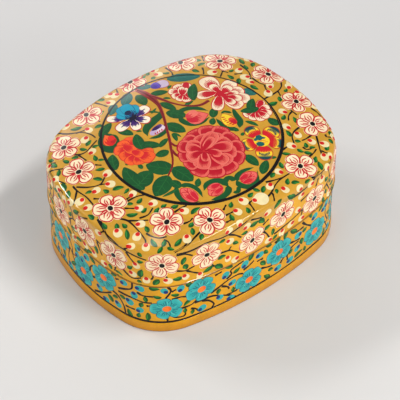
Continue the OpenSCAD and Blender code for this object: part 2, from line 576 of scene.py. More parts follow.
def widened(spine, half, across):
    """The stroke's grid: the spine plus its left-hand normal times half the width, across columns."""
    ahead = np.gradient(spine, axis=0)
    ahead /= np.maximum(np.linalg.norm(ahead, axis=1, keepdims=True), 1e-9)
    left = np.stack([-ahead[:, 1], ahead[:, 0]], 1)
    return spine[:, None] + left[:, None] * (np.asarray(half)[:, None] * np.linspace(-1, 1, across))[...,
                                                                                                     None]


def lobe(base, tip, width, peak=0.55, point=0.75, bend=0.0, across=7):
    """A leaf or petal from base to tip, with its spine bowed sideways by bend times its length."""
    base, tip = np.array(base, float), np.array(tip, float)
    ahead = tip - base
    left = np.array([-ahead[1], ahead[0]])
    spine = base + ahead * T[:, None] + left * (4 * bend * T * (1 - T))[:, None]
    return widened(spine, width / 2 * swell(peak, point), across)


RIM_STEPS = 22


def rim_of(grid, start=0.06):
    """The line round a lobe, from near its base up one side, over the tip and down the other."""
    skip = int(np.searchsorted(T, start))
    loop = np.vstack([grid[skip:, 0], grid[::-1, -1][: ROWS - skip]])
    step = np.r_[0, np.cumsum(np.linalg.norm(np.diff(loop, axis=0), axis=1))]
    even = np.linspace(0, step[-1], RIM_STEPS)
    return np.stack([np.interp(even, step, loop[:, k]) for k in (0, 1)], 1)


def heading(degrees):
    """Unit vector on paper."""
    return np.array([math.cos(math.radians(degrees)), math.sin(math.radians(degrees))])


def tones(stops, rows=ROWS):
    """Colour along a stroke, from (place, colour) stops, as a column to spread across it."""
    places = [place for place, _ in stops]
    t = T if rows == ROWS else np.linspace(0, 1, rows)
    return np.stack([np.interp(t, places, [c[k] for _, c in stops]) for k in range(3)], -1)[:, None]


# %% Sheets of paint
LAYERS = {"stem": 0, "leaf": 1, "under": 2, "petal": 3, "line": 4, "hair": 5, "dot": 6}
LINE_ACROSS = 3
FIRST_LIFT = 0.014
LAYER_LIFT = 0.015
SUNK = 0.03


class Paper:
    """Flat paper that strokes are drawn on, and the function that wraps it onto the box."""

    def __init__(self, name, wrap):
        self.name, self.wrap, self.strokes, self.taken, self.stack = name, wrap, [], [], 0.0

    def lay(self, grid, colour, layer):
        """Put down one stroke in a named layer, or at a lift of its own in millimetres."""
        colour = np.broadcast_to(np.asarray(colour, float), grid.shape[:2] + (3,))
        if layer in LAYERS:
            lift = FIRST_LIFT + LAYER_LIFT * LAYERS[layer] + 0.0003 * (len(self.strokes) % 40)
        else:
            lift = layer + 0.00006 * (len(self.strokes) % 16)
        self.strokes.append((grid, colour, lift))

    def line(self, points, width, colour, layer="line", rows=ROWS, tail=0.35, across=2):
        """A thin line through points, pressed in the middle and lifted at its ends."""
        spine = line_through(points, rows)
        t = np.linspace(0, 1, rows)
        half = width / 2 * (tail + (1 - tail) * np.sin(math.pi * (0.04 + 0.92 * t)) ** 0.6)
        self.lay(widened(spine, half, across), colour, layer)

    def take(self, centre, radius):
        """Keep later filling strokes off a disc."""
        self.taken.append((centre[0], centre[1], radius))


def slab_faces(rows, across):
    """Faces of one closed slab: its top, its underside and the four edges between them."""
    i, j = np.meshgrid(np.arange(rows - 1), np.arange(across - 1), indexing="ij")
    a = i * across + j
    top = np.stack([a, a + across, a + across + 1, a + 1], -1).reshape(-1, 4)
    under = rows * across
    r, c = np.arange(rows - 1) * across, np.arange(across - 1)
    right = np.stack([r, r + under, r + across + under, r + across], -1)
    left = np.stack([r + across, r + across + under, r + under, r], -1) + across - 1
    start = np.stack([c + 1, c + 1 + under, c + under, c], -1)
    end = np.stack([c, c + under, c + 1 + under, c + 1], -1) + (rows - 1) * across
    return np.vstack([top, top[:, ::-1] + under, right, left, start, end])


def to_linear(colour):
    """sRGB values from 0 to 255, as linear light."""
    c = np.clip(colour / 255, 0, 1)
    return np.where(c <= 0.04045, c / 12.92, ((c + 0.055) / 1.055) ** 2.4)


def paint_piece(name, paper, broad):
    """Wrap the broad strokes or the line work onto the box, all strokes of one grid size at a time."""
    points, faces, colours, first = [], [], [], 0
    wanted = [s for s in paper.strokes if (s[0].shape[1] > LINE_ACROSS) == broad]
    for size in sorted({s[0].shape[:2] for s in wanted}):
        group = [s for s in wanted if s[0].shape[:2] == size]
        grid = np.stack([s[0] for s in group])
        lift = np.array([s[2] for s in group])[:, None, None, None]
        colour = to_linear(np.stack([s[1] for s in group]))
        point, out = paper.wrap(grid)
        slab = np.stack([point + out * lift, point - out * SUNK], 1)
        pattern = slab_faces(*size)
        number = 2 * size[0] * size[1]
        points.append(slab.reshape(-1, 3))
        colours.append(np.stack([colour, colour], 1).reshape(-1, 3))
        faces.append((pattern[None] + (first + number * np.arange(len(group)))[:, None, None]).reshape(-1, 4))
        first += number * len(group)
    piece = finish_mesh(name, np.vstack(points), np.vstack(faces).tolist())
    layer = piece.data.color_attributes.new("paint", "FLOAT_COLOR", "POINT")
    rgba = np.hstack([np.vstack(colours), np.ones((first, 1))]).astype(np.float32)
    layer.data.foreach_set("color", rgba.ravel())
    print(f"{name}: {len(wanted)} strokes, {len(piece.data.polygons)} faces")
    return piece


# %% [markdown]
# ## The painter's motifs
#
# The border and the walls repeat four motifs: an open flower of five petals, a round bud with a dot, a
# small leaf and a twig. Each is drawn with a little chance in it, as a hand would, from a seeded
# generator, so the box comes out the same every time.

# %% Border motifs
CREAM, BUD_CREAM = (250, 228, 188), (236, 220, 168)
RED_LINE, BUD_RED, BUD_RED_LIGHT = (198, 34, 40), (204, 28, 24), (230, 66, 40)
INK, STEM_BROWN = (12, 9, 9), (26, 13, 9)
LEAF_DARK, LEAF_LIGHT = (14, 84, 32), (44, 132, 50)
TURQUOISE, TURQUOISE_DEEP, TURQUOISE_LIGHT = (46, 170, 168), (22, 88, 108), (96, 204, 192)
NAVY, ORANGE, ORANGE_DEEP = (18, 46, 112), (252, 124, 40), (222, 84, 30)
CREAM_BUD = (BUD_CREAM, BUD_RED, BUD_RED_LIGHT)
FLOWER_SIZE = 14.6
DARTS = 9000
rng = np.random.default_rng(7)


def wobble(amount):
    """A small chance error, no more than amount either way."""
    return amount * rng.uniform(-1, 1)


def cream_flower(paper, x, y, turn, line=0.6):
    """Five cream petals with a red outline that misses the cream a little, veins and a black eye."""
    centre = np.array([x, y])
    for k in range(5):
        way = turn + 72 * k + wobble(6)
        reach = FLOWER_SIZE / 2 * (1 + wobble(0.06))
        width = reach * (0.82 + wobble(0.05))
        start = centre + heading(way) * 0.5
        fill = lobe(start, centre + heading(way + wobble(3)) * reach * 1.03, width * 1.10, 0.68, 0.72)
        paper.lay(fill, CREAM, "under")
        outline = rim_of(lobe(start, centre + heading(way) * reach, width, 0.66, 0.74), 0.08)
        half = line / 2 * (0.6 + 0.4 * np.abs(np.cos(np.linspace(0, 3.4 + wobble(1), RIM_STEPS) + wobble(1))))
        paper.lay(widened(outline, half, 2), RED_LINE, "line")
        for veer, far in ((-13, 0.80), (13, 0.80), (wobble(3), 0.62)):
            inner = centre + heading(way + veer) * reach * (0.26 + wobble(0.03))
            middle = centre + heading(way + 1.45 * veer) * reach * 0.55
            outer = centre + heading(way + 0.55 * veer) * reach * (far + wobble(0.05))
            paper.line([inner, middle, outer], 0.9 * line, RED_LINE, "hair", tail=0.15)
    eye = heading(rng.uniform(0, 360)) * 1.35
    paper.lay(lobe(centre - eye, centre + eye, 2.3, 0.5, 0.5), INK, "dot")
    paper.take(centre, FLOWER_SIZE / 2 - 0.3)


def turquoise_flower(paper, x, y, turn):
    """Five broad turquoise petals with a few deep blue hairs, round an orange eye."""
    centre = np.array([x, y])
    for k in range(5):
        way = turn + 72 * k + wobble(6)
        reach = FLOWER_SIZE / 2 * (1 + wobble(0.07))
        tip = centre + heading(way) * reach
        petal = lobe(centre, tip, reach * (0.92 + wobble(0.06)), 0.66, 0.58)
        paper.lay(petal,
                  tones([(0, TURQUOISE_DEEP), (0.2, TURQUOISE), (0.85, TURQUOISE), (1, TURQUOISE_LIGHT)]),
                  "petal")
        half = 0.13 * (0.5 + 0.5 * np.abs(np.cos(np.linspace(0, 4, RIM_STEPS) + wobble(2))))
        paper.lay(widened(rim_of(petal, 0.1), half, 2), TURQUOISE_DEEP, "line")
        for veer in np.linspace(-19, 19, 4) + rng.uniform(-3, 3, 4):
            inner = centre + heading(way + veer * 0.9) * reach * (0.32 + wobble(0.05))
            middle = centre + heading(way + veer * 1.15) * reach * 0.56
            outer = centre + heading(way + veer * 0.9) * reach * (0.80 - abs(veer) / 130 + wobble(0.1))
            paper.line([inner, middle, outer], 0.30, TURQUOISE_DEEP if veer > -12 else TURQUOISE_LIGHT,
                       "hair",
                       tail=0.1)
    eye = heading(rng.uniform(-25, 25)) * 2.05
    paper.lay(lobe(centre - eye, centre + eye, 3.7, 0.5, 0.5), tones([(0, ORANGE), (0.6, ORANGE),
                                                                       (1, ORANGE_DEEP)]), "dot")
    paper.take(centre, FLOWER_SIZE / 2 - 0.2)


def bud(paper, x, y, way, palette=CREAM_BUD, size=4.2):
    """A round bud that hangs from its dot in the direction way."""
    body, dot, dot_light = palette
    dot_at = np.array([x, y])
    size = size * (1 + wobble(0.1))
    middle = dot_at + heading(way) * size * 0.26
    half = heading(way) * size * 0.52
    paper.lay(lobe(middle - half, middle + half, size * 0.88, 0.55, 0.5), body, "under")
    tip = heading(way + wobble(50)) * 1.08
    paper.lay(lobe(dot_at - tip, dot_at + tip, 1.95, 0.5, 0.5),
              tones([(0, dot), (0.55, dot), (1, dot_light)]), "dot")
    paper.take(middle, size * 0.5)


def small_leaf(paper, x, y, way, length=4.0, width=2.2):
    """A leaf in two touches of the brush: a dark one and a lighter streak beside its middle."""
    half = heading(way) * length / 2
    base, tip = np.array([x, y]) - half, np.array([x, y]) + half
    bend = wobble(0.12)
    paper.lay(lobe(base, tip, width, 0.42 + wobble(0.08), 0.7, bend, 5), LEAF_DARK, "leaf")
    streak = lobe(base + 0.2 * (tip - base), tip - 0.12 * (tip - base), 0.34 * width, 0.5, 0.8, bend, 3)
    side = heading(way + 90) * 0.16 * width * (1 if bend < 0 else -1)
    paper.lay(streak + side, LEAF_LIGHT, "under")
    paper.take((x, y), 0.42 * length)


def twig(paper, points, width=0.84):
    """A twig drawn in one pull, thick where it starts and fine where it ends."""
    rows = 16 * math.ceil(np.linalg.norm(np.diff(points, axis=0), axis=1).sum() / 6)
    spine = line_through(points, rows)
    half = width / 2 * np.linspace(1.05, 0.7, rows) * (1 + 0.18 * np.sin(np.linspace(0, 9, rows)))
    paper.lay(widened(spine, half, 2), tones([(0, INK), (0.4, STEM_BROWN), (1, STEM_BROWN)], rows), "stem")
    for x, y in spine[::4]:
        paper.take((x, y), 0.4)


def scatter(paper, darts, clear, draw):
    """Draw at each dart in turn, but only where a disc of that size is still clear."""
    drawn = 0
    for x, y in darts:
        taken = np.array(paper.taken)
        if np.all(np.hypot(taken[:, 0] - x, taken[:, 1] - y) > taken[:, 2] + clear):
            draw(paper, x, y)
            drawn += 1
    return drawn


def leaf_of(length, width):
    """A drawing function for the scatter: one leaf of about that size at any angle."""
    return lambda paper, x, y: small_leaf(paper, x, y, rng.uniform(0, 360), length * rng.uniform(0.85, 1.2),
                                          width * rng.uniform(0.85, 1.15))


def fill_with_leaves(paper, darts, sizes=((2.2, 4.6, 2.4), (1.75, 3.8, 2.1), (1.4, 3.0, 1.8))):
    """Leaves where they fit, then smaller ones in what is left: clear space, length and width."""
    counts = [scatter(paper, darts, clear, leaf_of(length, width)) for clear, length, width in sizes]
    print(paper.name, "leaves:", counts)


# %% [markdown]
# ## The border round the lid
#
# Thirteen cream flowers stand between the medallion's ring and the edge, joined by twigs that fork to
# the buds. Their places are read from the photograph in millimetres on the lid, then the gaps are filled
# with leaves by chance, as the painter fills them last.

# %% Border flowers, buds and twigs
RING_CENTRE = np.array([2.3, 2.4])
RING_RADIUS = 40.5
lid_paper = Paper("lid_top", on_lid_top)

for x, y, turn in [(-51, -8.3, 0), (-37, -30.2, -90), (-21.8, -40.8, 3), (29.8, -39.6, 90), (51.5, -22, 5),
                   (54.7, -6.7, 30), (56.2, 15.2, 12), (44, 35.3, 40), (28.8, 45.2, 60), (2.5, 48.6, 20),
                   (-25.5, 44.2, -15), (-45, 34.5, -15), (-49, 17.7, -13)]:
    cream_flower(lid_paper, x, y, turn)

for x, y, way in [(-56, -19.5, -105), (-47.2, -23, -35), (-50.3, -27, -145), (-50.9, -33.6, -130),
                  (-57.3, -29, -40), (-42.5, -16, -45), (-36.6, -18.3, -15), (-40.2, -9, 15),
                  (-28.3, -29.5, -50), (-34.8, -41.3, -120), (-9.8, -43.5, -65), (-4.3, -40.4, -65),
                  (11.7, -40.9, -140), (15.2, -45.6, -70), (20.2, -38, 130), (34.9, -29, 130),
                  (41.3, -23.3, -105), (40.3, -18.7, 110), (43.5, -29.7, -70), (47.3, -33.6, -50),
                  (43.3, -39.6, -110), (45.5, -9.9, 120), (-43.5, 41.2, 165), (-34.5, 32, -155),
                  (-30.8, 36.2, -80), (-38.6, 22.8, 20), (-41.7, 7.7, 10), (-44, 3.1, -45),
                  (-50.8, 3.7, 0), (-57.2, 4, 180), (-58.8, -0.6, -30), (-9.3, 47.8, 175),
                  (-7.3, 45.4, 170), (-13.7, 43.4, -40), (-35.5, 45, 180), (15.1, 48.2, 20),
                  (14.5, 45, -30), (36.7, 29.9, 160), (47.6, 25, -160), (46.9, 18.6, 155),
                  (46, 14.3, 120), (51, 7.3, 60), (48, 5.2, -130), (58.3, 2.8, 60), (54.1, 33.8, 170),
                  (56.2, 27.5, 40), (59.5, -1.5, -60)]:
    bud(lid_paper, x, y, way)

for route in [[(-51.5, -15), (-49.3, -19), (-49, -25), (-49.5, -31), (-50.6, -33)],
              [(-49.5, -18.5), (-45.5, -22), (-42.5, -24.3)], [(-44.8, -21), (-41, -22), (-37.2, -20.6)],
              [(-43.8, -10.3), (-39, -11), (-34.8, -13)], [(-46.5, -12.5), (-43.4, -15.4)],
              [(-43, -9.3), (-40.8, -9.2)], [(-47.3, -29), (-46.5, -31.5), (-44.5, -34.5), (-41.5, -36)],
              [(-43.5, -36.5), (-42.6, -38.5), (-43.3, -41)], [(-31.5, -28.3), (-28, -28.2), (-25, -28.8)],
              [(-32, -35.4), (-29, -36), (-27, -35.5)],
              [(-28.5, -43), (-33, -44), (-37, -45), (-43.5, -44.8)],
              [(-14, -40.3), (-11.2, -38.7)], [(-15, -43), (-10.6, -43.4)], [(-17, -46), (-14, -46.2)],
              [(-2.3, -42), (-2.6, -46), (-3, -48.3)], [(-2.3, -43.6), (0, -43.4)],
              [(6.5, -45.6), (9.5, -44.5), (13, -42.5), (17, -41), (23, -40.4)],
              [(10.8, -38.8), (15, -40), (19, -40.7)], [(9.5, -45), (8.7, -47), (7.5, -49)],
              [(36.5, -37.3), (40, -36.5), (42.7, -35.2)], [(31, -46), (31, -48), (36, -46.2)],
              [(48, -28.8), (46, -32.5), (43.8, -36.5), (42.8, -39)], [(44, -37), (45, -38.7), (46.5, -40.3)],
              [(46.5, -27.4), (43, -28), (40.3, -28)], [(38, -31.3), (38.7, -33.3), (41, -34)],
              [(46, -20.6), (41, -21.8), (38, -24), (36.2, -27.5)],
              [(29, -28.2), (32.5, -27.6), (36.5, -27.3)],
              [(48.8, -11), (45.5, -12.5), (43.3, -15)], [(48.3, -7), (48.8, -11), (49, -14)],
              [(52.3, -30), (52, -31.5), (55, -33)], [(57.8, -13.5), (58.4, -17), (58.3, -20)],
              [(-58.5, 28.5), (-55.5, 26.5), (-52.3, 24)], [(-58.5, 28), (-58.7, 22), (-57, 16.5)],
              [(-44.8, 28), (-42.5, 25.7), (-39.5, 25), (-35, 26.3), (-32, 27.2)],
              [(-43.2, 26), (-42.6, 20.5)], [(-42, 45), (-39, 40.5), (-34, 36.5), (-31.8, 32.5), (-31.4, 29)],
              [(-36, 37.8), (-31.5, 36.2)], [(-55.6, 13), (-55.8, 9.5), (-55, 4), (-55.3, -2)],
              [(-56, 9.5), (-59.5, 6.3), (-62, 5)], [(-54.8, 11.5), (-51, 7.5), (-46.5, 5.2), (-42.5, 7)],
              [(-46.5, 5.2), (-44.5, 3.6)], [(-41.5, 15.8), (-39.5, 13.5)], [(-53.3, 1), (-51, -1.5)],
              [(-49, 31.5), (-49.2, 28.5)], [(-24, 38.2), (-24, 35.8)],
              [(-18, 48), (-16.5, 44.5), (-15.5, 41.5)],
              [(-6.5, 46), (-5.2, 48.8)], [(21, 46.5), (21, 42), (20, 39.5)],
              [(34.3, 36), (33, 33.5), (31.5, 31.5)],
              [(40.5, 31), (40, 28.5), (36.5, 25.5)], [(40, 28.5), (41.5, 26)],
              [(50, 28), (49.5, 21), (46.5, 16)], [(48, 17), (48.5, 12), (49.8, 10.3)],
              [(49.8, 10), (48.6, 8), (48, 6)], [(43.3, 2), (51, 3), (55.5, 5), (58.5, 9)],
              [(52, 3), (51, 0)], [(43, 23.5), (46.5, 22)], [(40, 43.5), (38, 39.5)],
              [(44, -44), (38, -47), (31, -49)], [(-58.5, -9), (-59.5, -13), (-60.5, -17), (-60.8, -25)]]:
    twig(lid_paper, route)

lid_paper.lay(lobe((0.2, -45.2), (6.8, -44.6), 6.6, 0.5, 0.5), BUD_CREAM, "under")
bud(lid_paper, 0.5, -43.9, -20)
lid_paper.take((3.4, -44.9), 3.4)

for x, y, way, length in [(-58.3, -14, 80, 4), (-54.7, -18, 60, 3.6), (-52, -19.7, 95, 3.4),
                          (-53.8, -24, 60, 5.5),
                          (-39.2, -13.5, 10, 3.6), (-45.8, -17.2, -35, 5.3), (-40.8, -19, 10, 3.4),
                          (-36.7, -22.6, 20, 3.6), (-46, -27.6, 75, 3.6), (-47.4, -35, 85, 5),
                          (-44.5, -38, 30, 3.6),
                          (-39.5, -41.3, 15, 5), (-31.3, -40.8, 60, 3.8), (-29.5, -37.8, 10, 3.6),
                          (-23.5, -33.4, 5, 5.6), (-13.1, -45.4, 80, 3.8), (-9.5, -39.9, 40, 3.4),
                          (-5.4, -46.3, 70, 3.4), (1, -40.7, 15, 3.6), (7.5, -41.4, 40, 4),
                          (16, -37.6, 20, 3.4),
                          (19.5, -43.6, 50, 3.8), (22, -46, -20, 4), (23, -35, 75, 3.8),
                          (27.5, -48.2, 10, 3.6),
                          (37.8, -21.5, 80, 4.4), (40, -31, 60, 3.4), (38, -35, -40, 3.6), (38.6, -40, 50, 4),
                          (42.6, -12, 30, 3.8), (46, -16, 70, 4.2), (47.6, -37, 30, 3.6), (-39, 19, 70, 4),
                          (-35.5, 28.5, 20, 4.2), (-29, 41, 30, 4.4), (-20, 40, 10, 3.6),
                          (-1, 46.2, -20, 3.8),
                          (9, 47, 20, 3.8), (36, 42, -40, 4), (51, 25, 80, 4), (49, -1.5, 60, 3.6)]:
    small_leaf(lid_paper, x, y, way, length)


def ring_points(angles, radius):
    """Points on the medallion's ring."""
    reach = np.broadcast_to(radius, np.shape(angles))[..., None]
    return RING_CENTRE + reach * np.stack([np.cos(angles), np.sin(angles)], -1)


darts = rng.uniform((-62, -50), (62, 50), (DARTS, 2))
outside_ring = np.linalg.norm(darts - RING_CENTRE, axis=1) > RING_RADIUS + 1.8
fill_with_leaves(lid_paper, darts[outside_ring & (nearest_on_outline(darts)[2] < -1.6)])

# %% The ring
ring_angle = 2 * math.pi * np.linspace(0, 1, 181)
pressure = 0.52 + 0.22 * np.cos(ring_angle - math.radians(225)) + 0.05 * np.sin(5 * ring_angle)
ring_spine = ring_points(ring_angle, RING_RADIUS + 0.15 * np.sin(3 * ring_angle + 1))
lid_paper.lay(widened(ring_spine, pressure, 4), INK, "hair")
second_pass = np.radians(np.linspace(-100, -8, 60))
lid_paper.lay(widened(ring_points(second_pass, RING_RADIUS - 0.5 + 0.35 * np.sin(2 * second_pass)),
                      np.full(60, 0.2), 2), INK, "hair")

# %% [markdown]
# ## The medallion
#
# Inside the ring the same brush works larger. A petal is laid as a pale lobe with a deeper heart inside
# it, hairs combed out of the heart and an outline. Each petal lies wholly over the one before it, as it
# would in paint, so a flower is a list of petals from the back to the front.

# %% Cupped petals, leaves and sepals
MEDAL_GREEN, MEDAL_GREEN_LIGHT = (18, 78, 38), (34, 106, 48)
BLUE_GREEN, BLUE_GREEN_LIGHT = (28, 98, 88), (50, 122, 112)
CRIMSON, ROSE, SALMON = (182, 14, 36), (204, 42, 50), (226, 98, 86)
MAROON = (140, 30, 32)
FLOWER_LIFT = 0.06
PETAL_STEP = 0.006
SEPAL_ROWS = 24
BRANCH_ROWS = 40


def cup_petal(paper, base, tip, width, rim, heart, outline, hairs=5, reach=0.66, line=0.36,
              shape=(0.62, 0.55),
              heart_width=0.66):
    """One petal, laid over all the petals before it: rim colour, heart, combed hairs and outline."""
    level = paper.stack
    paper.stack += PETAL_STEP
    base, tip = np.array(base, float), np.array(tip, float)
    rim, heart = np.array(rim, float), np.array(heart, float)
    grid = lobe(base, tip, width, *shape)
    paper.lay(grid, rim, level)
    ahead = tip - base
    if reach:
        fade = tones([(0, heart), (0.6, heart), (1, 0.55 * heart + 0.45 * rim)])
        paper.lay(lobe(base, base + ahead * reach, width * heart_width, 0.58, 0.5), fade, level + 0.0015)
    left = np.array([-ahead[1], ahead[0]]) / np.linalg.norm(ahead) * width / 2
    for share in np.linspace(-0.72, 0.72, hairs):
        far = min(reach + 0.16, 0.94) - 0.26 * share**2 + wobble(0.06)
        points = [base + ahead * 0.2 + left * share * 0.4, base + ahead * far * 0.6 + left * share * 0.85,
                  base + ahead * far + left * share * 0.8]
        paper.line(points, 0.16 + 0.3 * width / hairs, heart, level + 0.003, tail=0.05)
    if outline is not None:
        swing = 0.7 + 0.3 * np.sin(np.linspace(0, 7, RIM_STEPS) + wobble(3))
        paper.lay(widened(rim_of(grid, 0.1), line / 2 * swing, 2), outline, level + 0.0045)


def flower(paper, petals, rim, heart, outline, **manner):
    """A flower as petals (base, tip, width) from back to front, starting a new stack."""
    paper.stack = manner.pop("lift", FLOWER_LIFT)
    for base, tip, width in petals:
        cup_petal(paper, base, tip, width, rim, heart, outline, **manner)


def big_leaf(paper, base, tip, width, colour=MEDAL_GREEN, light=MEDAL_GREEN_LIGHT, bend=0.06, level="leaf",
             vein_level="under"):
    """A leaf with one paler side, a faint middle vein and a few side veins."""
    grid = lobe(base, tip, width, 0.46, 0.62, bend)
    shade = np.linspace(0, 1, grid.shape[1])[None, :, None] * 0.3
    paper.lay(grid, np.array(colour) * (1 - shade) + np.array(light) * shade, level)
    vein = grid[1:-1, grid.shape[1] // 2]
    paper.lay(widened(vein, 0.14 * np.sin(np.linspace(0.4, 2.9, len(vein))), 2), light, vein_level)
    for row in (3, 5, 7):
        for side in (1, 5):
            paper.line([grid[row, 3], grid[row + 1, side]], 0.2, light, vein_level, rows=4, tail=0.1)


def half_widths(widths, rows):
    """Half the width at even steps along a stroke, from the widths given along it."""
    return np.interp(np.linspace(0, 1, rows), np.linspace(0, 1, len(widths)), widths) / 2


def sepal(paper, points, widths):
    """A thick curved stroke with a width given at each of its points."""
    spine = line_through(points, SEPAL_ROWS)
    half = half_widths(widths, SEPAL_ROWS)
    ends = np.minimum(1, 6 * np.minimum(np.linspace(0, 1, SEPAL_ROWS), np.linspace(1, 0, SEPAL_ROWS)) + 0.12)
    shade = np.linspace(0, 1, 5)[None, :, None] * 0.25
    green = np.array(MEDAL_GREEN) * (1 - shade) + np.array(MEDAL_GREEN_LIGHT) * shade
    paper.lay(widened(spine, half * ends, 5), green, "leaf")


# %% Branch, leaves and sepals
medal = Paper("medallion", on_lid_top)
for route, widths in [([(0.3, 43), (1.5, 40), (2.3, 36), (2.5, 31), (2, 26.5), (0.3, 22), (-2, 17),
                        (-5, 11.3),
                        (-8, 5.5), (-11, 0.5), (-14, -4.5), (-17, -8), (-21.5, -11)],
                       (1.6, 2.6, 3.4, 2.7, 1.8, 1.5, 1.3, 1.1, 1.3, 1.2, 0.9, 0.8, 0.7)),
                      ([(2.6, 35), (5, 30), (7, 25), (9.6, 20.5), (13, 16.9), (17, 14.8), (21.5, 15)],
                       (2.0, 1.7, 1.1, 0.9, 1.1, 1.5, 1.6)),
                      ([(-8.6, 4.5), (-8.4, 1.5), (-7, 0)], (1.0, 1.2, 1.2)),
                      ([(-10.8, 0), (-11.3, -3), (-10.6, -6)], (1.0, 1.3, 1.3))]:
    spine = line_through(route, BRANCH_ROWS)
    half = half_widths(widths, BRANCH_ROWS)
    medal.lay(widened(spine, half, 5), tones([(0, (166, 66, 70)), (0.25, MAROON), (1, MAROON)], BRANCH_ROWS)
              + np.array([-1, -0.4, 0.1, 0.5, 1])[None, :, None] * 14, "under")
    medal.lay(widened(spine + (0.12, 0), half * 0.28, 2), (104, 20, 26), "petal")

for base, tip, width in [((-21.3, -10.8), (-32.7, -16.2), 8.8), ((-17.4, -8.6), (-14.8, -20), 8),
                         ((-17, -9.3), (-25, 0.4), 8.6), ((-34, -10.3), (-33, 5.8), 7.4),
                         ((-35.5, -7), (-25.2, -4.2), 9), ((-36.4, 6.8), (-32.2, 15.2), 5.6),
                         ((-12.3, 0.8), (-18.5, 2.2), 4.4), ((-27.4, -0.4), (-27.2, 3), 2.2),
                         ((-3.6, 14.6), (0.6, 5), 6.2), ((-4.8, 8), (-6, 2.8), 2.2),
                         ((-4.3, 8), (-2.8, 3.8), 1.4),
                         ((3.3, 27.4), (6, 18.8), 4.2), ((1.4, 20.4), (7, 12.6), 6.2),
                         ((3.6, 34.8), (11, 31.4), 4),
                         ((12.2, 33), (15, 34), 1.6), ((-1.5, 38.8), (-2.6, 30.4), 5.4),
                         ((-30, 27.6), (-20.8, 31.6), 4.8), ((-22.2, 24.8), (-18.2, 18.6), 3.9),
                         ((-21.2, 12.4), (-12.8, 4.9), 4.8),
                         ((-14, 4.6), (-7.8, 6.6), 2.9),
                         ((10.8, 18.6), (15.8, 19), 2.2), ((15.8, 4.8), (21.2, 9.5), 4.2),
                         ((12.8, 1.2), (16, 4.4), 3.2),
                         ((37.6, -15), (36.4, -9), 4.6), ((26.3, -5.2), (29.3, -10.8), 2.2),
                         ((13, -21.6), (14, -29.8), 4.8), ((12.4, -34.4), (19.3, -29.4), 4.4),
                         ((-15, -23.8), (-11.8, -20.4), 3), ((21.5, -29.4), (24, -30.2), 1.6),
                         ((19.2, -11.6), (21.4, -10.6), 1.8), ((-22, -19.2), (-30.4, -18.5), 1.6),
                         ((-21, -19.5), (-22, -13.8), 4.4), ((6.4, 29), (9, 26.8), 1.6),
                         ((-16, 19.4), (-14, 17.8), 1.3), ((-31.6, 6.8), (-30.2, 5.8), 1.5),
                         ((18.6, -6), (20.2, -8.4), 2.4), ((-5.6, 27), (-0.6, 22), 1.4),
                         ((-4, 24), (0, 25.6), 1.2)]:
    big_leaf(medal, base, tip, width * 0.96, bend=0.05 + wobble(0.04))
for base, tip, width in [((-2.8, 42.6), (-10.2, 36.6), 5.4), ((-12, 41), (-18.2, 35.8), 4.4),
                         ((1.8, 42.8), (8.2, 39), 3.9), ((16, 38.9), (29.4, 31.2), 6.2),
                         ((38.6, 12.4), (42, 6.4), 5)]:
    big_leaf(medal, base, tip, width, BLUE_GREEN, BLUE_GREEN_LIGHT, 0.02)

for points, widths in [([(3.8, 15), (7, 17), (11, 16.4), (14.6, 13.4), (17, 9.6)], (2.4, 2.6, 2.6, 2.2, 0.8)),
                       ([(4.2, 15), (3.9, 10.4), (6, 7), (10, 5.4), (15, 6)], (2.8, 2.8, 2.6, 2.2, 1)),
                       ([(-22.4, -17.5), (-24.6, -22), (-24, -27), (-19, -30.6)], (2.4, 2.6, 2.6, 0.8)),
                       ([(-21, -18.6), (-17.6, -20.6), (-16, -25), (-16.8, -29.6)], (2.6, 2.2, 2, 0.8)),
                       ([(-14.2, -27), (-11, -25), (-7, -25.6), (-4.6, -28), (-4.2, -31.5)],
                        (1.6, 2.4, 2.6, 3.2, 3)),
                       ([(-14.8, -33), (-10, -34.4), (-6, -33.6), (-4, -31)], (1.6, 2.6, 3, 3)),
                       ([(11.6, -29.4), (7, -28.4), (3, -29), (0.8, -31.4)], (1, 1.8, 2.4, 3)),
                       ([(0.6, -31), (0.6, -34), (3.2, -36.8), (7.4, -36.6), (12, -31.6)],
                        (3, 2.8, 2.6, 2.6, 0.8)),
                       ([(-4.4, -28.6), (-1, -27.8), (0.4, -30.6)], (3, 2.2, 3)),
                       ([(-4.6, -35.4), (-2.4, -36), (-0.4, -34)], (1.4, 2, 2)),
                       ([(16.6, 3.6), (16.4, -1), (17.8, -5), (20.6, -7.4)], (1.2, 2.4, 2.8, 2.4)),
                       ([(27.2, 5), (25.6, 0.6), (24.6, -3.6), (21.6, -7)], (1.2, 2.6, 3, 2.6)),
                       ([(20.6, 4.8), (22.6, 5), (24.8, 2.6)], (0.9, 1.4, 1.6)),
                       ([(-14, 13.6), (-12, 17.4), (-7.4, 19.4), (-2, 20.6), (0.4, 23.4)],
                        (1.2, 3.4, 4.4, 3.4, 0.8)),
                       ([(-14.4, 12), (-10, 10.4), (-5.6, 11.6), (-3.4, 15)], (1.2, 2, 2.4, 2))]:
    sepal(medal, points, widths)
medal.lay(lobe((-30.8, 15.6), (-27.6, 28.2), 9.6, 0.5, 0.55), MEDAL_GREEN, "leaf")
medal.lay(lobe((-32.8, 20), (-24.2, 24.4), 7.6, 0.5, 0.5), MEDAL_GREEN, "leaf")

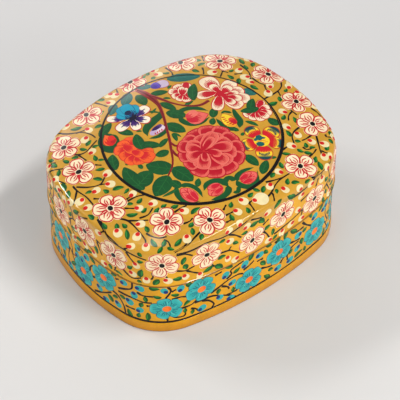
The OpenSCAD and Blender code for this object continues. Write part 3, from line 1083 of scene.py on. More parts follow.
# %% Pink, orange, yellow and lilac buds
BUD_PINK, BUD_CRIMSON, BUD_LINE = (232, 104, 92), (200, 28, 48), (188, 30, 44)
flower(medal, [((5.6, 10.6), (15.8, 7.8), 8.6)], BUD_PINK, BUD_CRIMSON, BUD_LINE, reach=0.5, hairs=6,
       shape=(0.36, 0.6))
flower(medal, [((6.2, 12), (12.6, 12.6), 4.4)], (236, 116, 100), (214, 60, 66), None, reach=0.4, hairs=3,
       lift=0.08)
flower(medal, [((-19.8, -29.8), (-21.6, -20), 6.4), ((-20.2, -29.4), (-22.6, -22), 3.4),
               ((-19.2, -29.4), (-19, -21.6), 3)], BUD_PINK, BUD_CRIMSON, BUD_LINE, hairs=4,
       shape=(0.45, 0.6))
flower(medal, [((-6.2, -29.4), (-14, -30.4), 6.2), ((-6.4, -28.4), (-12.6, -27.4), 3.4),
               ((-6.4, -30.6), (-13.4, -31.4), 2.8)], BUD_PINK, BUD_CRIMSON, BUD_LINE, hairs=5,
       shape=(0.45, 0.55))
flower(medal,
       [((2, -32.8), (10.8, -32.4), 6.4), ((2.2, -31.6), (9, -30.8), 3), ((2.2, -33.8), (9, -34.4), 3)],
       BUD_PINK, BUD_CRIMSON, BUD_LINE, hairs=5, shape=(0.45, 0.55))
flower(medal, [((-28.8, 19.6), (-27.6, 27.4), 6)], (246, 104, 40), (214, 30, 28), (200, 34, 26), reach=0.5,
       hairs=4,
       shape=(0.36, 0.75))
flower(medal, [((-27.4, 20.2), (-26.4, 25.2), 3.2)], (224, 44, 34), (190, 20, 28), None, reach=0.4, hairs=2,
       lift=0.08)
flower(medal, [((20.2, -5.2), (20.8, 4.4), 6.4)], (246, 208, 46), (240, 160, 40), (176, 56, 30), reach=0.3,
       hairs=3,
       shape=(0.42, 0.55))
for x, y, way in [(18.9, 2.6, -20), (18.6, 1.3, -20), (18.5, 0, -15), (18.7, -1.3, -10), (19.2, -2.6, -5),
                  (19.8, -3.8, 0)]:
    medal.line([(x, y), np.array([x, y]) + heading(way) * 1.6], 0.6, (196, 34, 30), "hair")
flower(medal, [((22, -4.4), (21.8, 0.4), 3)], (226, 70, 40), (196, 20, 40), None, reach=0.7, hairs=2,
       lift=0.12)

flower(medal, [((-12.6, 13.4), (-4.4, 14.4), 4.6)], (226, 206, 216), (196, 168, 204), (150, 60, 80),
       reach=0.4, hairs=3)
flower(medal, [((-10.6, 15), (-5, 15.4), 2.2)], (88, 56, 124), (50, 26, 84), None, reach=0.7, hairs=3,
       lift=0.08)
for x in (-10.8, -9.6, -8.4, -7.2):
    medal.line([(x, 12.2), (x + 0.7, 13.1)], 0.6, (196, 44, 50), "hair")
flower(medal, [((8, 38.8), (15.2, 36.6), 5.6)], (204, 184, 206), (176, 150, 196), (166, 60, 84), reach=0.4,
       hairs=4)
flower(medal, [((6.8, 38.4), (11.2, 38.4), 4.6)], (98, 72, 184), (64, 38, 146), (90, 50, 120), hairs=4,
       lift=0.08)

# %% The rose
ROSE_AT = np.array([2.4, -11.4])
medal.lay(lobe(ROSE_AT - (13, 0), ROSE_AT + (13, 0), 26, 0.5, 0.5), ROSE, FLOWER_LIFT - 0.004)
for share, manner, tips in [
        (0.5, dict(outline=(178, 14, 38), line=0.66, hairs=12, reach=0.8, heart_width=0.7),
         [(3, 3.9, 9), (-2.4, 2.6, 8), (10, 2.4, 8.6), (15.6, -2.4, 8.6), (17.1, -9.2, 8.6), (16, -17, 8.6),
          (11.2, -23.4, 9), (2.8, -26.4, 9.2), (-5.6, -24.6, 9), (-11.6, -18.8, 8.4), (-12.4, -12.2, 7.6),
          (-11.4, -5.6, 7.8), (-7.4, 0.4, 8)]),
        (0.3, dict(outline=(228, 112, 98), line=0.46, hairs=11, reach=0.78, heart_width=0.7),
         [(4, -0.6, 8), (10.8, -3.6, 8), (13, -10.6, 7.6), (11.2, -17.8, 8), (4.6, -21.6, 8),
          (-3, -20.8, 7.8),
          (-8.4, -15.4, 7.4), (-8.8, -8.2, 7), (-4.2, -1.8, 7.4)])]:
    petals = [(ROSE_AT + (np.array(tip) - ROSE_AT) * share, tip, width * (1 + wobble(0.05))) for *tip,
              width in tips]
    flower(medal, petals, SALMON, CRIMSON, lift=FLOWER_LIFT if share > 0.4 else medal.stack, **manner)
HEART = [((-1.2, -8.8), (-4.8, -2.6), 5.4), ((-1.2, -9.6), (-8.2, -8.6), 5), ((1.4, -12), (4, -20.4), 6),
         ((4.4, -10), (11.4, -14.2), 6.2), ((-1, -10.2), (-7, -17.6), 6), ((-0.6, -8.4), (10.4, -3.2), 6.6),
         ((1.2, -10.2), (4.4, -15.6), 4.2), ((0, -8.6), (7.8, -5), 3.6), ((-0.6, -9.8), (-3.4, -14.6), 3.4)]
flower(medal, HEART, SALMON, CRIMSON, (230, 118, 102), line=0.5, hairs=9, reach=0.7, heart_width=0.66,
       lift=medal.stack)
for way, length in [(60, 5), (20, 4), (-20, 4.6), (-75, 5), (-120, 5.4), (170, 4.6), (125, 4)]:
    start = np.array([-0.4, -9.4]) + heading(way) * 0.6
    medal.line([start, start + heading(way + 10) * length * 0.5, start + heading(way) * length], 0.6, CRIMSON,
               medal.stack, tail=0.1)

# %% Orange cluster
medal.lay(lobe((-25.2, 2), (-25.2, 17.6), 10, 0.5, 0.5), (212, 40, 38), FLOWER_LIFT - 0.004)
flower(medal,
       [((-25, 12), (-20, 18.4), 6.4), ((-25.4, 12.4), (-25, 19.3), 5.6), ((-25.6, 12), (-30.2, 16.8), 6),
               ((-24.6, 10), (-31.2, 11.2), 5.8), ((-25, 8), (-30.8, 6), 5.6), ((-24.4, 7), (-27, 2.4), 5.4),
               ((-22.8, 7.6), (-17.6, 4.4), 5), ((-23.4, 8.2), (-20.4, 0.8), 7),
               ((-25.6, 16), (-23.6, 9.6), 5.4),
               ((-24.6, 11), (-22.8, 5.6), 4.6)],
       (240, 94, 40), (208, 32, 38), (206, 40, 36), hairs=7, reach=0.6, line=0.36, heart_width=0.6)
big_leaf(medal, (-20.4, 8.6), (-17, 18), 5.2, level=medal.stack, vein_level=medal.stack + 0.003)

# %% Pansy
WHITE, PURPLE = (248, 236, 210), (58, 24, 100)
flower(medal,
       [((-15.4, 29.4), (-20.9, 35), 4.4), ((-13.2, 26.6), (-22, 25.8), 5.2),
        ((-10, 27.6), (-2.2, 28.9), 5.6),
               ((-12.8, 26.4), (-14.8, 19.6), 4.8), ((-11.4, 26.4), (-7, 20.8), 5)], WHITE, PURPLE,
       (192, 28, 44),
       hairs=3, reach=0.56, line=0.5, heart_width=0.6)
TEAL, TEAL_DEEP = (20, 156, 184), (12, 54, 106)
flower(medal,
       [((-11.8, 28), (-15.8, 34.2), 5.2), ((-11, 28), (-6.4, 34.2), 5.2), ((-11.4, 28), (-12.8, 37.2), 6),
               ((-11.2, 28), (-9.6, 37.3), 6)], TEAL, TEAL_DEEP, (14, 96, 134), hairs=6, reach=0.36,
       line=0.36,
       heart_width=0.5, lift=medal.stack)
for way, reach in [(140, 3.4), (180, 3), (-145, 3), (-100, 3.2), (-60, 3), (-20, 3), (20, 3.4), (50, 3)]:
    spot = np.array([-12, 27.4])
    medal.line([spot, spot + heading(way) * reach], 0.9, (20, 14, 50), medal.stack, tail=0.15)
medal.lay(lobe((-13.1, 31.4), (-9.9, 31.8), 2.8, 0.5, 0.5), (12, 30, 66), medal.stack + 0.002)
medal.lay(lobe((-13.6, 27), (-10, 27.6), 2.4, 0.5, 0.5), (14, 12, 40), medal.stack + 0.002)

# %% Red and cream peonies
PEONY = dict(rim=(246, 224, 188), heart=(194, 14, 34), outline=(200, 28, 44), line=0.46, heart_width=0.62)
PEONY_RED = (192, 14, 36)
medal.lay(lobe((28.6, 7), (28.8, 21), 7, 0.5, 0.5), PEONY_RED, FLOWER_LIFT - 0.004)
flower(medal, [((28.8, 18.6), (30, 29.4), 8.8)], hairs=9, reach=0.62, **dict(PEONY, heart_width=0.42))
flower(medal, [((30, 15.4), (39.4, 20), 7)], hairs=8, reach=0.56, lift=medal.stack, **PEONY)
flower(medal,
       [((29.8, 13.6), (39.4, 12.6), 6.6), ((29.4, 12.8), (37.6, 5.2), 7.4), ((28.4, 12.4), (31, 3), 7.2),
               ((27.4, 17.6), (18.9, 20.6), 6), ((27.6, 14.8), (20.3, 7.6), 5.8)],
       hairs=8, reach=0.7, lift=medal.stack, **PEONY)
flower(medal,
       [((28.8, 17), (29.6, 23.4), 4.4), ((29.8, 15.6), (36, 17.6), 4.8), ((30.2, 13.4), (36.2, 12), 4),
               ((29.8, 12.4), (34.8, 7.6), 4.6), ((28.2, 12), (30, 6.4), 4.2)], hairs=5, reach=0.6,
       lift=medal.stack,
       **PEONY)
medal.line([(29, 20.5), (29.2, 15), (28.2, 9.4)], 2.4, PEONY_RED, medal.stack, across=3)

medal.lay(lobe((15.6, 21.4), (16, 31.4), 9.4, 0.5, 0.5), PEONY_RED, FLOWER_LIFT - 0.004)
flower(medal, [((16.6, 27), (21.6, 31), 5), ((16.4, 27), (16.2, 33.2), 5), ((15.4, 27), (11.2, 31.4), 4.6),
               ((15, 26), (9.8, 27.2), 4.2), ((15, 25.2), (10.4, 23.4), 4), ((15.4, 24.6), (13.4, 20), 4.2),
               ((16, 24.6), (17.2, 20.6), 3.6), ((14.2, 25.4), (18.6, 29.8), 4.8)], hairs=4, reach=0.66,
       **PEONY)
medal.lay(lobe((18.6, 28.4), (21.6, 31.6), 3, 0.5, 0.5), PEONY_RED, medal.stack)
big_leaf(medal, (16.2, 19.2), (23.8, 28.4), 4.8, level=medal.stack + 0.003, vein_level=medal.stack + 0.006)

medal.lay(lobe((29.4, -3.4), (40.6, -2.6), 7, 0.5, 0.5), PEONY_RED, FLOWER_LIFT - 0.004)
flower(medal,
       [((36.6, -1.6), (41.6, 1.6), 3.8), ((33, -2.6), (28, -2), 4.2), ((33.2, -3.2), (29.4, -6.4), 4.2),
               ((36.6, -2.6), (41.8, -3.2), 4), ((36.2, -3.2), (39.8, -7.6), 4.2),
               ((34.4, -3.4), (32.8, -9.2), 4.4),
               ((35.4, -3.4), (36.4, -9.2), 4.2)], hairs=4, reach=0.6, **PEONY)
medal.lay(lobe((37.8, -0.6), (41.4, 1.6), 2.8, 0.55, 0.6), PEONY_RED, medal.stack)
for base, tip in [((32.6, -1.6), (38.9, 4.8)), ((37, -1.4), (28.6, 1.2))]:
    big_leaf(medal, base, tip, 4.2, level=medal.stack + 0.003, vein_level=medal.stack + 0.006)

# %% Yellow flower with banded petals
EYE_AT = np.array([24.6, -18.9])
BAND_TEAL, SUN, BAND_RED = (10, 66, 72), (246, 206, 44), (206, 28, 38)
medal.stack = FLOWER_LIFT
for x, y, across_band in [(24.7, -8.6, 7), (35.6, -16.2, 7.4), (31.6, -25.4, 7), (18.8, -29, 7.6),
                          (14.8, -17, 7.4)]:
    tip = np.array([x, y])
    away = (tip - EYE_AT) / np.linalg.norm(tip - EYE_AT)
    side = np.array([-away[1], away[0]])
    base = EYE_AT + away * 2.8
    petal = lobe(base, tip, across_band, 0.52, 0.5)
    medal.lay(petal, tones([(0, BAND_RED), (0.4, BAND_RED), (0.5, SUN), (0.7, SUN), (0.8, BAND_TEAL),
                            (1, BAND_TEAL)]), medal.stack)
    medal.lay(widened(rim_of(petal, 0.05), np.full(RIM_STEPS, 0.18), 2), (186, 50, 40), medal.stack + 0.004)
    for share in np.linspace(-0.8, 0.8, 8):
        root = base + away * 2.2 + side * across_band * 0.42 * share
        crown = base + away * (6.6 - 1.5 * share**2) + side * across_band * 0.36 * share
        medal.line([root, root + away * (2.2 - share**2)], 0.6, BAND_RED, medal.stack + 0.002, rows=5,
                   tail=0.02)
        medal.line([crown, crown - away * 1.7], 0.55, BAND_TEAL, medal.stack + 0.002, rows=5, tail=0.02)
    medal.stack += PETAL_STEP
medal.lay(lobe(EYE_AT - (3.6, 0.4), EYE_AT + (3.6, 0.4), 7.2, 0.5, 0.5), SUN, medal.stack)
for base, tip, width in [((-1, 0.8), (1.4, 3.3), 3.2), ((-3.3, -0.2), (-0.2, -2.4), 2.8),
                         ((0.6, 1.8), (2.6, 0.4), 1.2),
                         ((-2.8, 1.6), (-0.6, 2.4), 1.6)]:
    medal.lay(lobe(EYE_AT + base, EYE_AT + tip, width, 0.5, 0.6), (16, 92, 90), medal.stack + 0.003)
for shift in (-1.1, 0.1, 1.2):
    medal.line([EYE_AT + (-2.2, 0.7 + shift), EYE_AT + (2, -0.9 + shift)], 0.4, (214, 96, 40),
               medal.stack + 0.002)

# %% [markdown]
# ## The walls
#
# The lid's wall carries the cream flowers and the base's wall the turquoise ones. The two front walls
# follow the photograph. The two that it doesn't show carry on with the same spacing, by rule.

# %% Lid wall
wall_paper = Paper("lid_wall", on_lid_wall)
seen = [(193.5, 43.5, 20), (211.5, 42, 35), (234.7, 44.4, 45), (255.5, 43.7, 48), (279, 39, 45),
        (296.5, 44, 40),
        (317, 38.5, 50)]
UNSEEN = 12
WALL_FROM = 185


def carried_on(seen, level, swing, slack):
    """Flowers for the part of a wall that the photograph doesn't show, at even steps and two levels."""
    step = (seen[0][0] + PERIMETER - seen[-1][0]) / (UNSEEN + 1)
    return [(seen[-1][0] + step * (k + 1), level + swing * (-1) ** k + wobble(slack), rng.uniform(0, 72))
            for k in range(UNSEEN)]


unseen = carried_on(seen, 41.4, 2.3, 0.8)
for s, z, turn in seen + unseen:
    cream_flower(wall_paper, s, z, turn, line=0.43)

for s, z, way in [(199, 34.5, -60), (206.5, 32.6, 200), (203.5, 50, 200), (219.7, 52.5, 40),
                  (222.8, 43.3, -60),
                  (220.7, 36.8, -30), (227.8, 35.3, -90), (236.2, 34.8, -30), (244.6, 35.6, -60),
                  (252, 33.4, -90),
                  (265.5, 52.5, 25), (272.2, 53.3, 90), (266, 46.5, -30), (275, 49.5, 25), (286.3, 51, 20),
                  (266, 36, -80), (271, 32.8, 200), (289.3, 32.6, 170), (296.3, 33.5, -100), (302.7, 34, 200),
                  (306.7, 39, 140), (309.3, 32.4, 170), (307.3, 52, 120), (308.7, 47.8, 200),
                  (315, 49.8, 160)]:
    bud(wall_paper, s, z, way, size=4.0)

for route in [[(198, 57), (203, 54.5), (206.5, 52.6), (210, 50.5), (217, 49.8), (221, 48.8), (228, 47.2)],
              [(205.5, 53), (204, 50.8)], [(218.5, 48.8), (220.5, 46), (222.3, 43.8)],
              [(190, 49), (192.5, 51), (195, 52.6)],
              [(201, 43.8), (205, 43)], [(201.5, 43), (203, 39.5), (204.6, 36.5)],
              [(195.5, 36.8), (198.4, 35)],
              [(212.5, 35.2), (211.8, 31.8)], [(216, 37), (221, 33.5), (225.5, 35)],
              [(217.5, 50), (219.6, 52)],
              [(230.4, 39.5), (230.8, 37), (230, 35)], [(235.8, 38.4), (237, 36)],
              [(240, 52), (246, 54.7), (248.5, 57)],
              [(241, 50.6), (248, 50.3), (256, 51.4), (264, 50.5), (272, 52), (281, 55.2)],
              [(241, 50), (245, 49.4), (248.6, 46.8)], [(240.5, 40.2), (245, 38.8), (249.5, 39.8)],
              [(245.5, 38.5), (248, 36.5), (251.4, 34)], [(257.5, 37), (259.3, 34)],
              [(261.6, 41), (266.5, 40.2), (269.5, 38), (272.3, 35.2)], [(266.5, 40.2), (267.7, 42.2)],
              [(266.5, 50.5), (270, 48), (273, 44.8)], [(278, 52.8), (281, 51.6), (284, 50.6)],
              [(284.8, 45), (288, 46.8)],
              [(284.8, 41), (287, 38), (289, 33.8)], [(291.5, 34.5), (298, 35.5), (306, 37), (309.5, 38.5)],
              [(309.5, 38.5), (308.2, 35), (308.6, 32.8)], [(303, 50), (309, 50), (315, 51), (320, 54)],
              [(316.5, 51.8), (314, 56)], [(307.5, 44), (310, 44.3), (313, 44.8)],
              [(317.5, 45.8), (319, 50)]]:
    twig(wall_paper, route, 1.0)


def join_unseen(paper, seen, unseen, reach, low, high, palette, size):
    """Where the photograph shows nothing: a twig from flower to flower, forks to buds, then loose buds."""
    flowers = seen[-1:] + unseen + [(seen[0][0] + PERIMETER, *seen[0][1:])]
    for (s0, z0, _), (s1, z1, _) in zip(flowers[:-1], flowers[1:]):
        main = line_through([(s0 + reach, z0 + wobble(1)), ((s0 + s1) / 2, (z0 + z1) / 2 + wobble(3)),
                             (s1 - reach, z1 + wobble(1))])
        twig(paper, main[::2], 0.95)
        for level, fork in ((low, main[3]), (high, main[7])):
            at = np.array([(s0 + s1) / 2 + wobble(2.5), level + wobble(1)])
            bud(paper, *at, 90 * math.copysign(1, level - fork[1]) + wobble(60), palette, size)
            twig(paper, [fork, (fork + at) / 2 + (wobble(1.6), wobble(0.8)), at], 0.75)

    def loose_bud(paper, s, z):
        way = rng.uniform(0, 360)
        twig(paper,
             [(s, z), np.array([s, z]) - heading(way + 20) * 1.8, np.array([s, z]) - heading(way) * 3.4], 0.7)
        bud(paper, s, z, way, palette, size)

    scatter(paper, rng.uniform((flowers[0][0], low - 1.5), (flowers[-1][0], high + 2), (1500, 2)), 2.6,
            loose_bud)


join_unseen(wall_paper, seen, unseen, 6.8, 34, 51.5, CREAM_BUD, 4.0)


def wall_darts(low, high):
    """Darts all round a wall between two heights."""
    return rng.uniform((WALL_FROM, low), (WALL_FROM + PERIMETER, high), (DARTS, 2))


darts = wall_darts(31.6, 56)
under_edge = ball_height(outline_at(darts[:, 0])[0]) - darts[:, 1] > 1.8
WALL_LEAVES = ((2.35, 5.2, 2.8), (1.85, 4.2, 2.5), (1.6, 3.4, 2.2))
fill_with_leaves(wall_paper, darts[under_edge], WALL_LEAVES)

# %% Base wall
base_paper = Paper("base_wall", on_base_wall)
TEAL_BUD = (TURQUOISE, NAVY, (28, 72, 140))
seen = [(190.3, 14.2, 10), (204.3, 21.3, 25), (236.7, 15, 33), (253.3, 21.7, 50), (278.3, 13, 30),
        (295.8, 19.2, 35),
        (319, 15, 20)]
unseen = carried_on(seen, 17.6, -3, 0.7)
for s, z, turn in seen + unseen:
    turquoise_flower(base_paper, s, z, turn)

for s, z, way in [(192, 24.5, 40), (215.3, 26.2, 25), (223.2, 26.9, 0), (221.5, 22.7, -80),
                  (218.3, 16.7, -40),
                  (223.5, 11.9, 40), (212, 10.7, -50), (200.5, 12.8, -30), (204.5, 7.6, 0),
                  (236.3, 26.2, 130),
                  (242.8, 26, 75), (252.5, 8.3, 30), (261.7, 11.5, -30), (267.2, 7.4, -20), (268, 16.7, 10),
                  (264.8, 23, 55), (275.2, 23.7, 65), (282.8, 25.5, 0), (293.9, 9, 0), (301.5, 8.7, 0),
                  (308, 13.5, -145),
                  (308.8, 21.3, 180), (317.5, 24.5, 30), (324.5, 24.5, 0)]:
    bud(base_paper, s, z, way, TEAL_BUD, 4.2)

for route in [[(195, 18.5), (196, 22), (199.3, 25)], [(197, 16), (199, 16.8), (201, 16.7)],
              [(198, 7.5), (204, 11), (209, 15)],
              [(209, 17), (213, 15.6), (216, 11.5), (217, 7)], [(217, 12), (222, 12)],
              [(213, 19), (220, 19.3), (226, 18.4), (230, 18.8)],
              [(213, 21), (218, 23.5), (220.5, 25.5), (220.8, 29.6)],
              [(211.5, 26), (213.6, 27)], [(223, 24), (226, 22.8), (231, 23)],
              [(237.2, 29.6), (238.5, 26.5), (236.2, 22)],
              [(238.8, 26), (241, 27.2)], [(239, 21), (243, 21.5), (246, 20.5)],
              [(227.5, 16.3), (229.8, 16.8)],
              [(243.4, 13.8), (248, 14), (251, 15.8)],
              [(250, 14.3), (258, 14.2), (263, 12), (268, 9), (271, 6.4)],
              [(253.5, 13.7), (257, 12), (259.5, 8.5), (258.3, 6.2)], [(248, 11.5), (250.5, 10), (251.8, 8)],
              [(239, 10), (241, 8.5), (244.5, 8.2), (245.5, 10)], [(236.8, 8.4), (237, 6.8)],
              [(258, 16.3), (262, 18), (267, 20), (272, 20.5), (275, 19.2)],
              [(263.5, 17.8), (266.5, 15.7), (267.5, 13.7)],
              [(266, 21), (268.5, 23), (268.5, 25.8), (275, 27.6)], [(275, 21.5), (278, 22.5), (280.8, 24)],
              [(260, 27), (263.5, 27.5)], [(266, 10.3), (269, 10.2), (272, 10.4)],
              [(285, 16), (288, 14.5), (291.5, 13.3)],
              [(293, 28), (294, 25.8)], [(286, 22), (282.5, 22.2)], [(302.5, 20), (305.5, 19), (308.8, 18.2)],
              [(302, 16), (305, 16.9), (308, 17.2)], [(296.5, 11), (298, 12.8), (301, 14)],
              [(300.6, 14), (301, 10)],
              [(310, 27.8), (313, 24), (316.6, 20.6)], [(311, 24.2), (306, 24.4)]]:
    twig(base_paper, route, 1.15)
join_unseen(base_paper, seen, unseen, 6.6, 9, 25.6, TEAL_BUD, 4.1)

fill_with_leaves(base_paper, wall_darts(8, 28.6), WALL_LEAVES)

# %% The black line over the foot band
LINE_STEPS = 420
LINE_HEIGHT = 6.1
line_s = np.linspace(0, PERIMETER, LINE_STEPS)
sway = 0.16 * np.sin(line_s * 4 * math.pi / PERIMETER
                     + 1.1) + 0.08 * np.sin(line_s * 22 * math.pi / PERIMETER)
line_paper = Paper("base_line", on_base_wall)
line_paper.lay(widened(np.stack([line_s, LINE_HEIGHT + sway], -1), 0.6 + 0.1 * np.sin(line_s / 7), 3), INK,
               "line")

# %% [markdown]
# ## Finishes
#
# Everything painted lies under the same varnish, so one node group gives its mottled tone, uneven gloss
# and faint brush marks, and each material places it with its own values. The clear coat itself is the
# Principled shader's own, set on its sockets.

# %% Shared node groups
def new_group(name, inputs, outputs):
    """An empty shader group with its sockets, and its two ends."""
    group = bpy.data.node_groups.new(name, "ShaderNodeTree")
    for label, kind, value in inputs:
        socket = group.interface.new_socket(label, in_out="INPUT", socket_type=kind)
        socket.default_value = value
    for label, kind in outputs:
        group.interface.new_socket(label, in_out="OUTPUT", socket_type=kind)
    return group, group.nodes.new("NodeGroupInput"), group.nodes.new("NodeGroupOutput")


def node(tree, kind, **values):
    """A node with its plain properties and unlinked inputs set by name."""
    made = tree.nodes.new(kind)
    for key, value in values.items():
        if hasattr(made, key):
            setattr(made, key, value)
        else:
            made.inputs[key.replace("_", " ").title()].default_value = value
    return made


BRISTLE_SHARE, MEAN_TONE, LEAST_ROUGHNESS = 0.45, 0.725, 0.34
hand_finish, group_in, group_out = new_group(
    "hand_finish",
    [("Colour", "NodeSocketColor", (1, 1, 1, 1)), ("Mottle", "NodeSocketFloat", 0.1),
     ("Patch Scale", "NodeSocketFloat", 60.0), ("Gloss Spread", "NodeSocketFloat", 0.1)],
    [("Colour", "NodeSocketColor"), ("Roughness", "NodeSocketFloat"), ("Height", "NodeSocketFloat")])
tree = hand_finish
link = tree.links.new
place = node(tree, "ShaderNodeTexCoord")
patches = node(tree, "ShaderNodeTexNoise", detail=4.0, roughness=0.62)
link(place.outputs["Object"], patches.inputs["Vector"])
link(group_in.outputs["Patch Scale"], patches.inputs["Scale"])
bristles = node(tree, "ShaderNodeTexNoise", scale=900.0, detail=3.0, roughness=0.7)
link(place.outputs["Object"], bristles.inputs["Vector"])
both = node(tree, "ShaderNodeMath", operation="MULTIPLY_ADD")
link(bristles.outputs["Fac"], both.inputs[0])
both.inputs[1].default_value = BRISTLE_SHARE
link(patches.outputs["Fac"], both.inputs[2])
tone = node(tree, "ShaderNodeMath", operation="SUBTRACT")
link(both.outputs[0], tone.inputs[0])
tone.inputs[1].default_value = MEAN_TONE
scaled = node(tree, "ShaderNodeMath", operation="MULTIPLY_ADD")
link(tone.outputs[0], scaled.inputs[0])
link(group_in.outputs["Mottle"], scaled.inputs[1])
scaled.inputs[2].default_value = 1.0
bright = node(tree, "ShaderNodeHueSaturation")
link(group_in.outputs["Colour"], bright.inputs["Color"])
link(scaled.outputs[0], bright.inputs["Value"])
link(bright.outputs["Color"], group_out.inputs["Colour"])
rough = node(tree, "ShaderNodeMath", operation="MULTIPLY_ADD")
link(patches.outputs["Fac"], rough.inputs[0])
link(group_in.outputs["Gloss Spread"], rough.inputs[1])
rough.inputs[2].default_value = LEAST_ROUGHNESS
link(rough.outputs[0], group_out.inputs["Roughness"])
link(both.outputs[0], group_out.inputs["Height"])


def varnished(name, mottle, patch_scale, spread, coat, coat_roughness, bump):
    """A material with the hand finish in it. The caller links its colour."""
    material = bpy.data.materials.new(name)
    material.use_nodes = True
    nodes, links = material.node_tree.nodes, material.node_tree.links
    shader = nodes["Principled BSDF"]
    shader.inputs["Coat Weight"].default_value = coat
    shader.inputs["Coat Roughness"].default_value = coat_roughness
    shader.inputs["Coat IOR"].default_value = 1.5
    shader.inputs["Specular IOR Level"].default_value = 0.12
    finish = nodes.new("ShaderNodeGroup")
    finish.node_tree = hand_finish
    finish.inputs["Mottle"].default_value = mottle
    finish.inputs["Patch Scale"].default_value = patch_scale
    finish.inputs["Gloss Spread"].default_value = spread
    links.new(finish.outputs["Colour"], shader.inputs["Base Color"])
    links.new(finish.outputs["Roughness"], shader.inputs["Roughness"])
    relief = nodes.new("ShaderNodeBump")
    relief.inputs["Strength"].default_value = bump
    relief.inputs["Distance"].default_value = 0.0001
    links.new(finish.outputs["Height"], relief.inputs["Height"])
    links.new(relief.outputs["Normal"], shader.inputs["Normal"])
    return material, finish


def linear_rgba(colour):
    """An sRGB colour for a socket."""
    return (*to_linear(np.array(colour, float)), 1)


# %% Ochre grounds, ink, pulp and lacquer
def ground(name, dome_tone, wall_tone, low, high, rim_tone, rim_low, rim_high, coat=0.4, dome_coat=None):
    """Ochre that changes down the wall and at a rim. dome_coat is the varnish on the dome, if it differs."""
    material, finish = varnished(name, 0.6, 95.0, 0.18, coat, 0.11, 0.2)
    tree = material.node_tree
    place = node(tree, "ShaderNodeTexCoord")
    split = node(tree, "ShaderNodeSeparateXYZ")
    tree.links.new(place.outputs["Object"], split.inputs[0])
    rise = node(tree, "ShaderNodeMapRange")
    rise.inputs["From Min"].default_value = low * MM
    rise.inputs["From Max"].default_value = high * MM
    tree.links.new(split.outputs["Z"], rise.inputs["Value"])
    blend = node(tree, "ShaderNodeMix", data_type="RGBA")
    blend.inputs[6].default_value = linear_rgba(wall_tone)
    blend.inputs[7].default_value = linear_rgba(dome_tone)
    tree.links.new(rise.outputs["Result"], blend.inputs["Factor"])
    if dome_coat:
        gloss = node(tree, "ShaderNodeMath", operation="MULTIPLY_ADD")
        tree.links.new(rise.outputs["Result"], gloss.inputs[0])
        gloss.inputs[1].default_value = dome_coat - coat
        gloss.inputs[2].default_value = coat
        tree.links.new(gloss.outputs[0], tree.nodes["Principled BSDF"].inputs["Coat Weight"])
    # The rim mark: another colour along a rim, used for wear, for painted shade and for painted highlights,
    # as each caller sets it.
    rim_wear_and_light = node(tree, "ShaderNodeMapRange")
    rim_wear_and_light.inputs["From Min"].default_value = rim_low * MM
    rim_wear_and_light.inputs["From Max"].default_value = rim_high * MM
    tree.links.new(split.outputs["Z"], rim_wear_and_light.inputs["Value"])
    edge = node(tree, "ShaderNodeMix", data_type="RGBA")
    edge.inputs[6].default_value = linear_rgba(rim_tone)
    tree.links.new(rim_wear_and_light.outputs["Result"], edge.inputs["Factor"])
    tree.links.new(blend.outputs[2], edge.inputs[7])
    tree.links.new(edge.outputs[2], finish.inputs["Colour"])
    return material


# RIM_PALE lightens the base's top rim: a painted highlight, partly worn pale gesso.
RIM_BROWN, RIM_PALE = (104, 60, 20), (250, 206, 110)
# The lid's foot is darkened brown with RIM_BROWN: partly a worn edge, partly painted shade at the seam over
# the base.
lid_ground = ground("lid_ochre", (205, 152, 46), (226, 164, 30), 47.5, 50.5, RIM_BROWN, LID_FOOT + 0.4,
                    LID_FOOT + 0.9,
                    0.4, 0.95)
# The base's ochre is made a little darker than the lid's wall: painted shade under the lid's overhang.
base_ground = ground("base_ochre", (224, 159, 12), (224, 159, 12), 5, 8, RIM_PALE, BASE_RIM - 0.8,
                     BASE_RIM - 1.3)
# The band is lighter at its top and darker towards the floor, painted sheen and painted shade, and is darker
# brown along its very foot.
band_ground = ground("band_gold", (217, 152, 17), (197, 129, 9), 0, 5, (96, 58, 16), 0.1, 0.7)


def brush_paint(name, coat):
    """Paint that takes its colour from the strokes' own attribute."""
    material, finish = varnished(name, 0.34, 240.0, 0.10, coat, 0.11, 0.25)
    attribute = material.node_tree.nodes.new("ShaderNodeAttribute")
    attribute.attribute_name = "paint"
    material.node_tree.links.new(attribute.outputs["Color"], finish.inputs["Colour"])
    return material


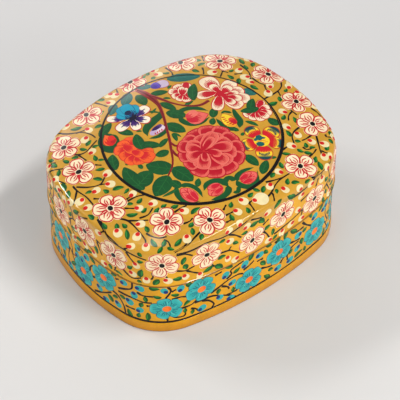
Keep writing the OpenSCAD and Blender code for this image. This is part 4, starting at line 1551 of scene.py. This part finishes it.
brushed, brushed_wall = brush_paint("brushed_colour", 0.85), brush_paint("brushed_wall_colour", 0.25)

pulp, pulp_finish = varnished("pulp_board", 0.9, 420.0, 0.3, 0.0, 0.3, 1.0)
pulp_finish.inputs["Colour"].default_value = linear_rgba((150, 122, 84))
lacquer, lacquer_finish = varnished("black_lacquer", 1.2, 70.0, 0.2, 0.7, 0.12, 0.4)
lacquer_finish.inputs["Colour"].default_value = linear_rgba((30, 26, 25))

# %% [markdown]
# ## Fitting out the pieces
#
# Each smooth piece hides the CAD solids it stands for and joins the body it moves with. The paint is extra:
# it stands for nothing, and rides with the skin that it lies on.

# %% Bodies, slots and materials
for piece, body, material, slot, nodes in [
        (base_board, "base", pulp, "pulp", ("base_floor",)),
        (base_core, "base", pulp, "pulp", ("base_wall",)),
        (foot_strip, "base", band_ground, "plain_band", ("foot_band",)),
        (base_shell, "base", base_ground, "base_paint", ("base_skin",)),
        (collar, "base", lacquer, "black_lacquer", ("base_collar",)),
        (floor_sheet, "base", lacquer, "black_lacquer", ("floor_lining",)),
        (lid_core, "lid", pulp, "pulp", ("lid_wall",)),
        (lid_board, "lid", pulp, "pulp", ("lid_top",)),
        (lid_shell, "lid", lid_ground, "lid_paint", ("lid_top_skin", "lid_wall_skin")),
        (lid_sheet, "lid", lacquer, "black_lacquer", ("lid_lining",))]:
    piece.data.materials.append(material)
    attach(piece, body)
    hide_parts(*nodes)

for name, paper, broad, body, material in [
        ("border_colour", lid_paper, True, "lid", brushed),
        ("border_line_work", lid_paper, False, "lid", brushed),
        ("medallion_colour", medal, True, "lid", brushed),
        ("medallion_line_work", medal, False, "lid", brushed),
        ("lid_wall_colour", wall_paper, True, "lid", brushed_wall),
        ("lid_wall_line_work", wall_paper, False, "lid", brushed_wall),
        ("base_wall_colour", base_paper, True, "base", brushed_wall),
        ("base_wall_line_work", base_paper, False, "base", brushed_wall),
        ("foot_line", line_paper, False, "base", brushed_wall)]:
    piece = paint_piece(name, paper, broad)
    piece.data.materials.append(material)
    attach(piece, body)
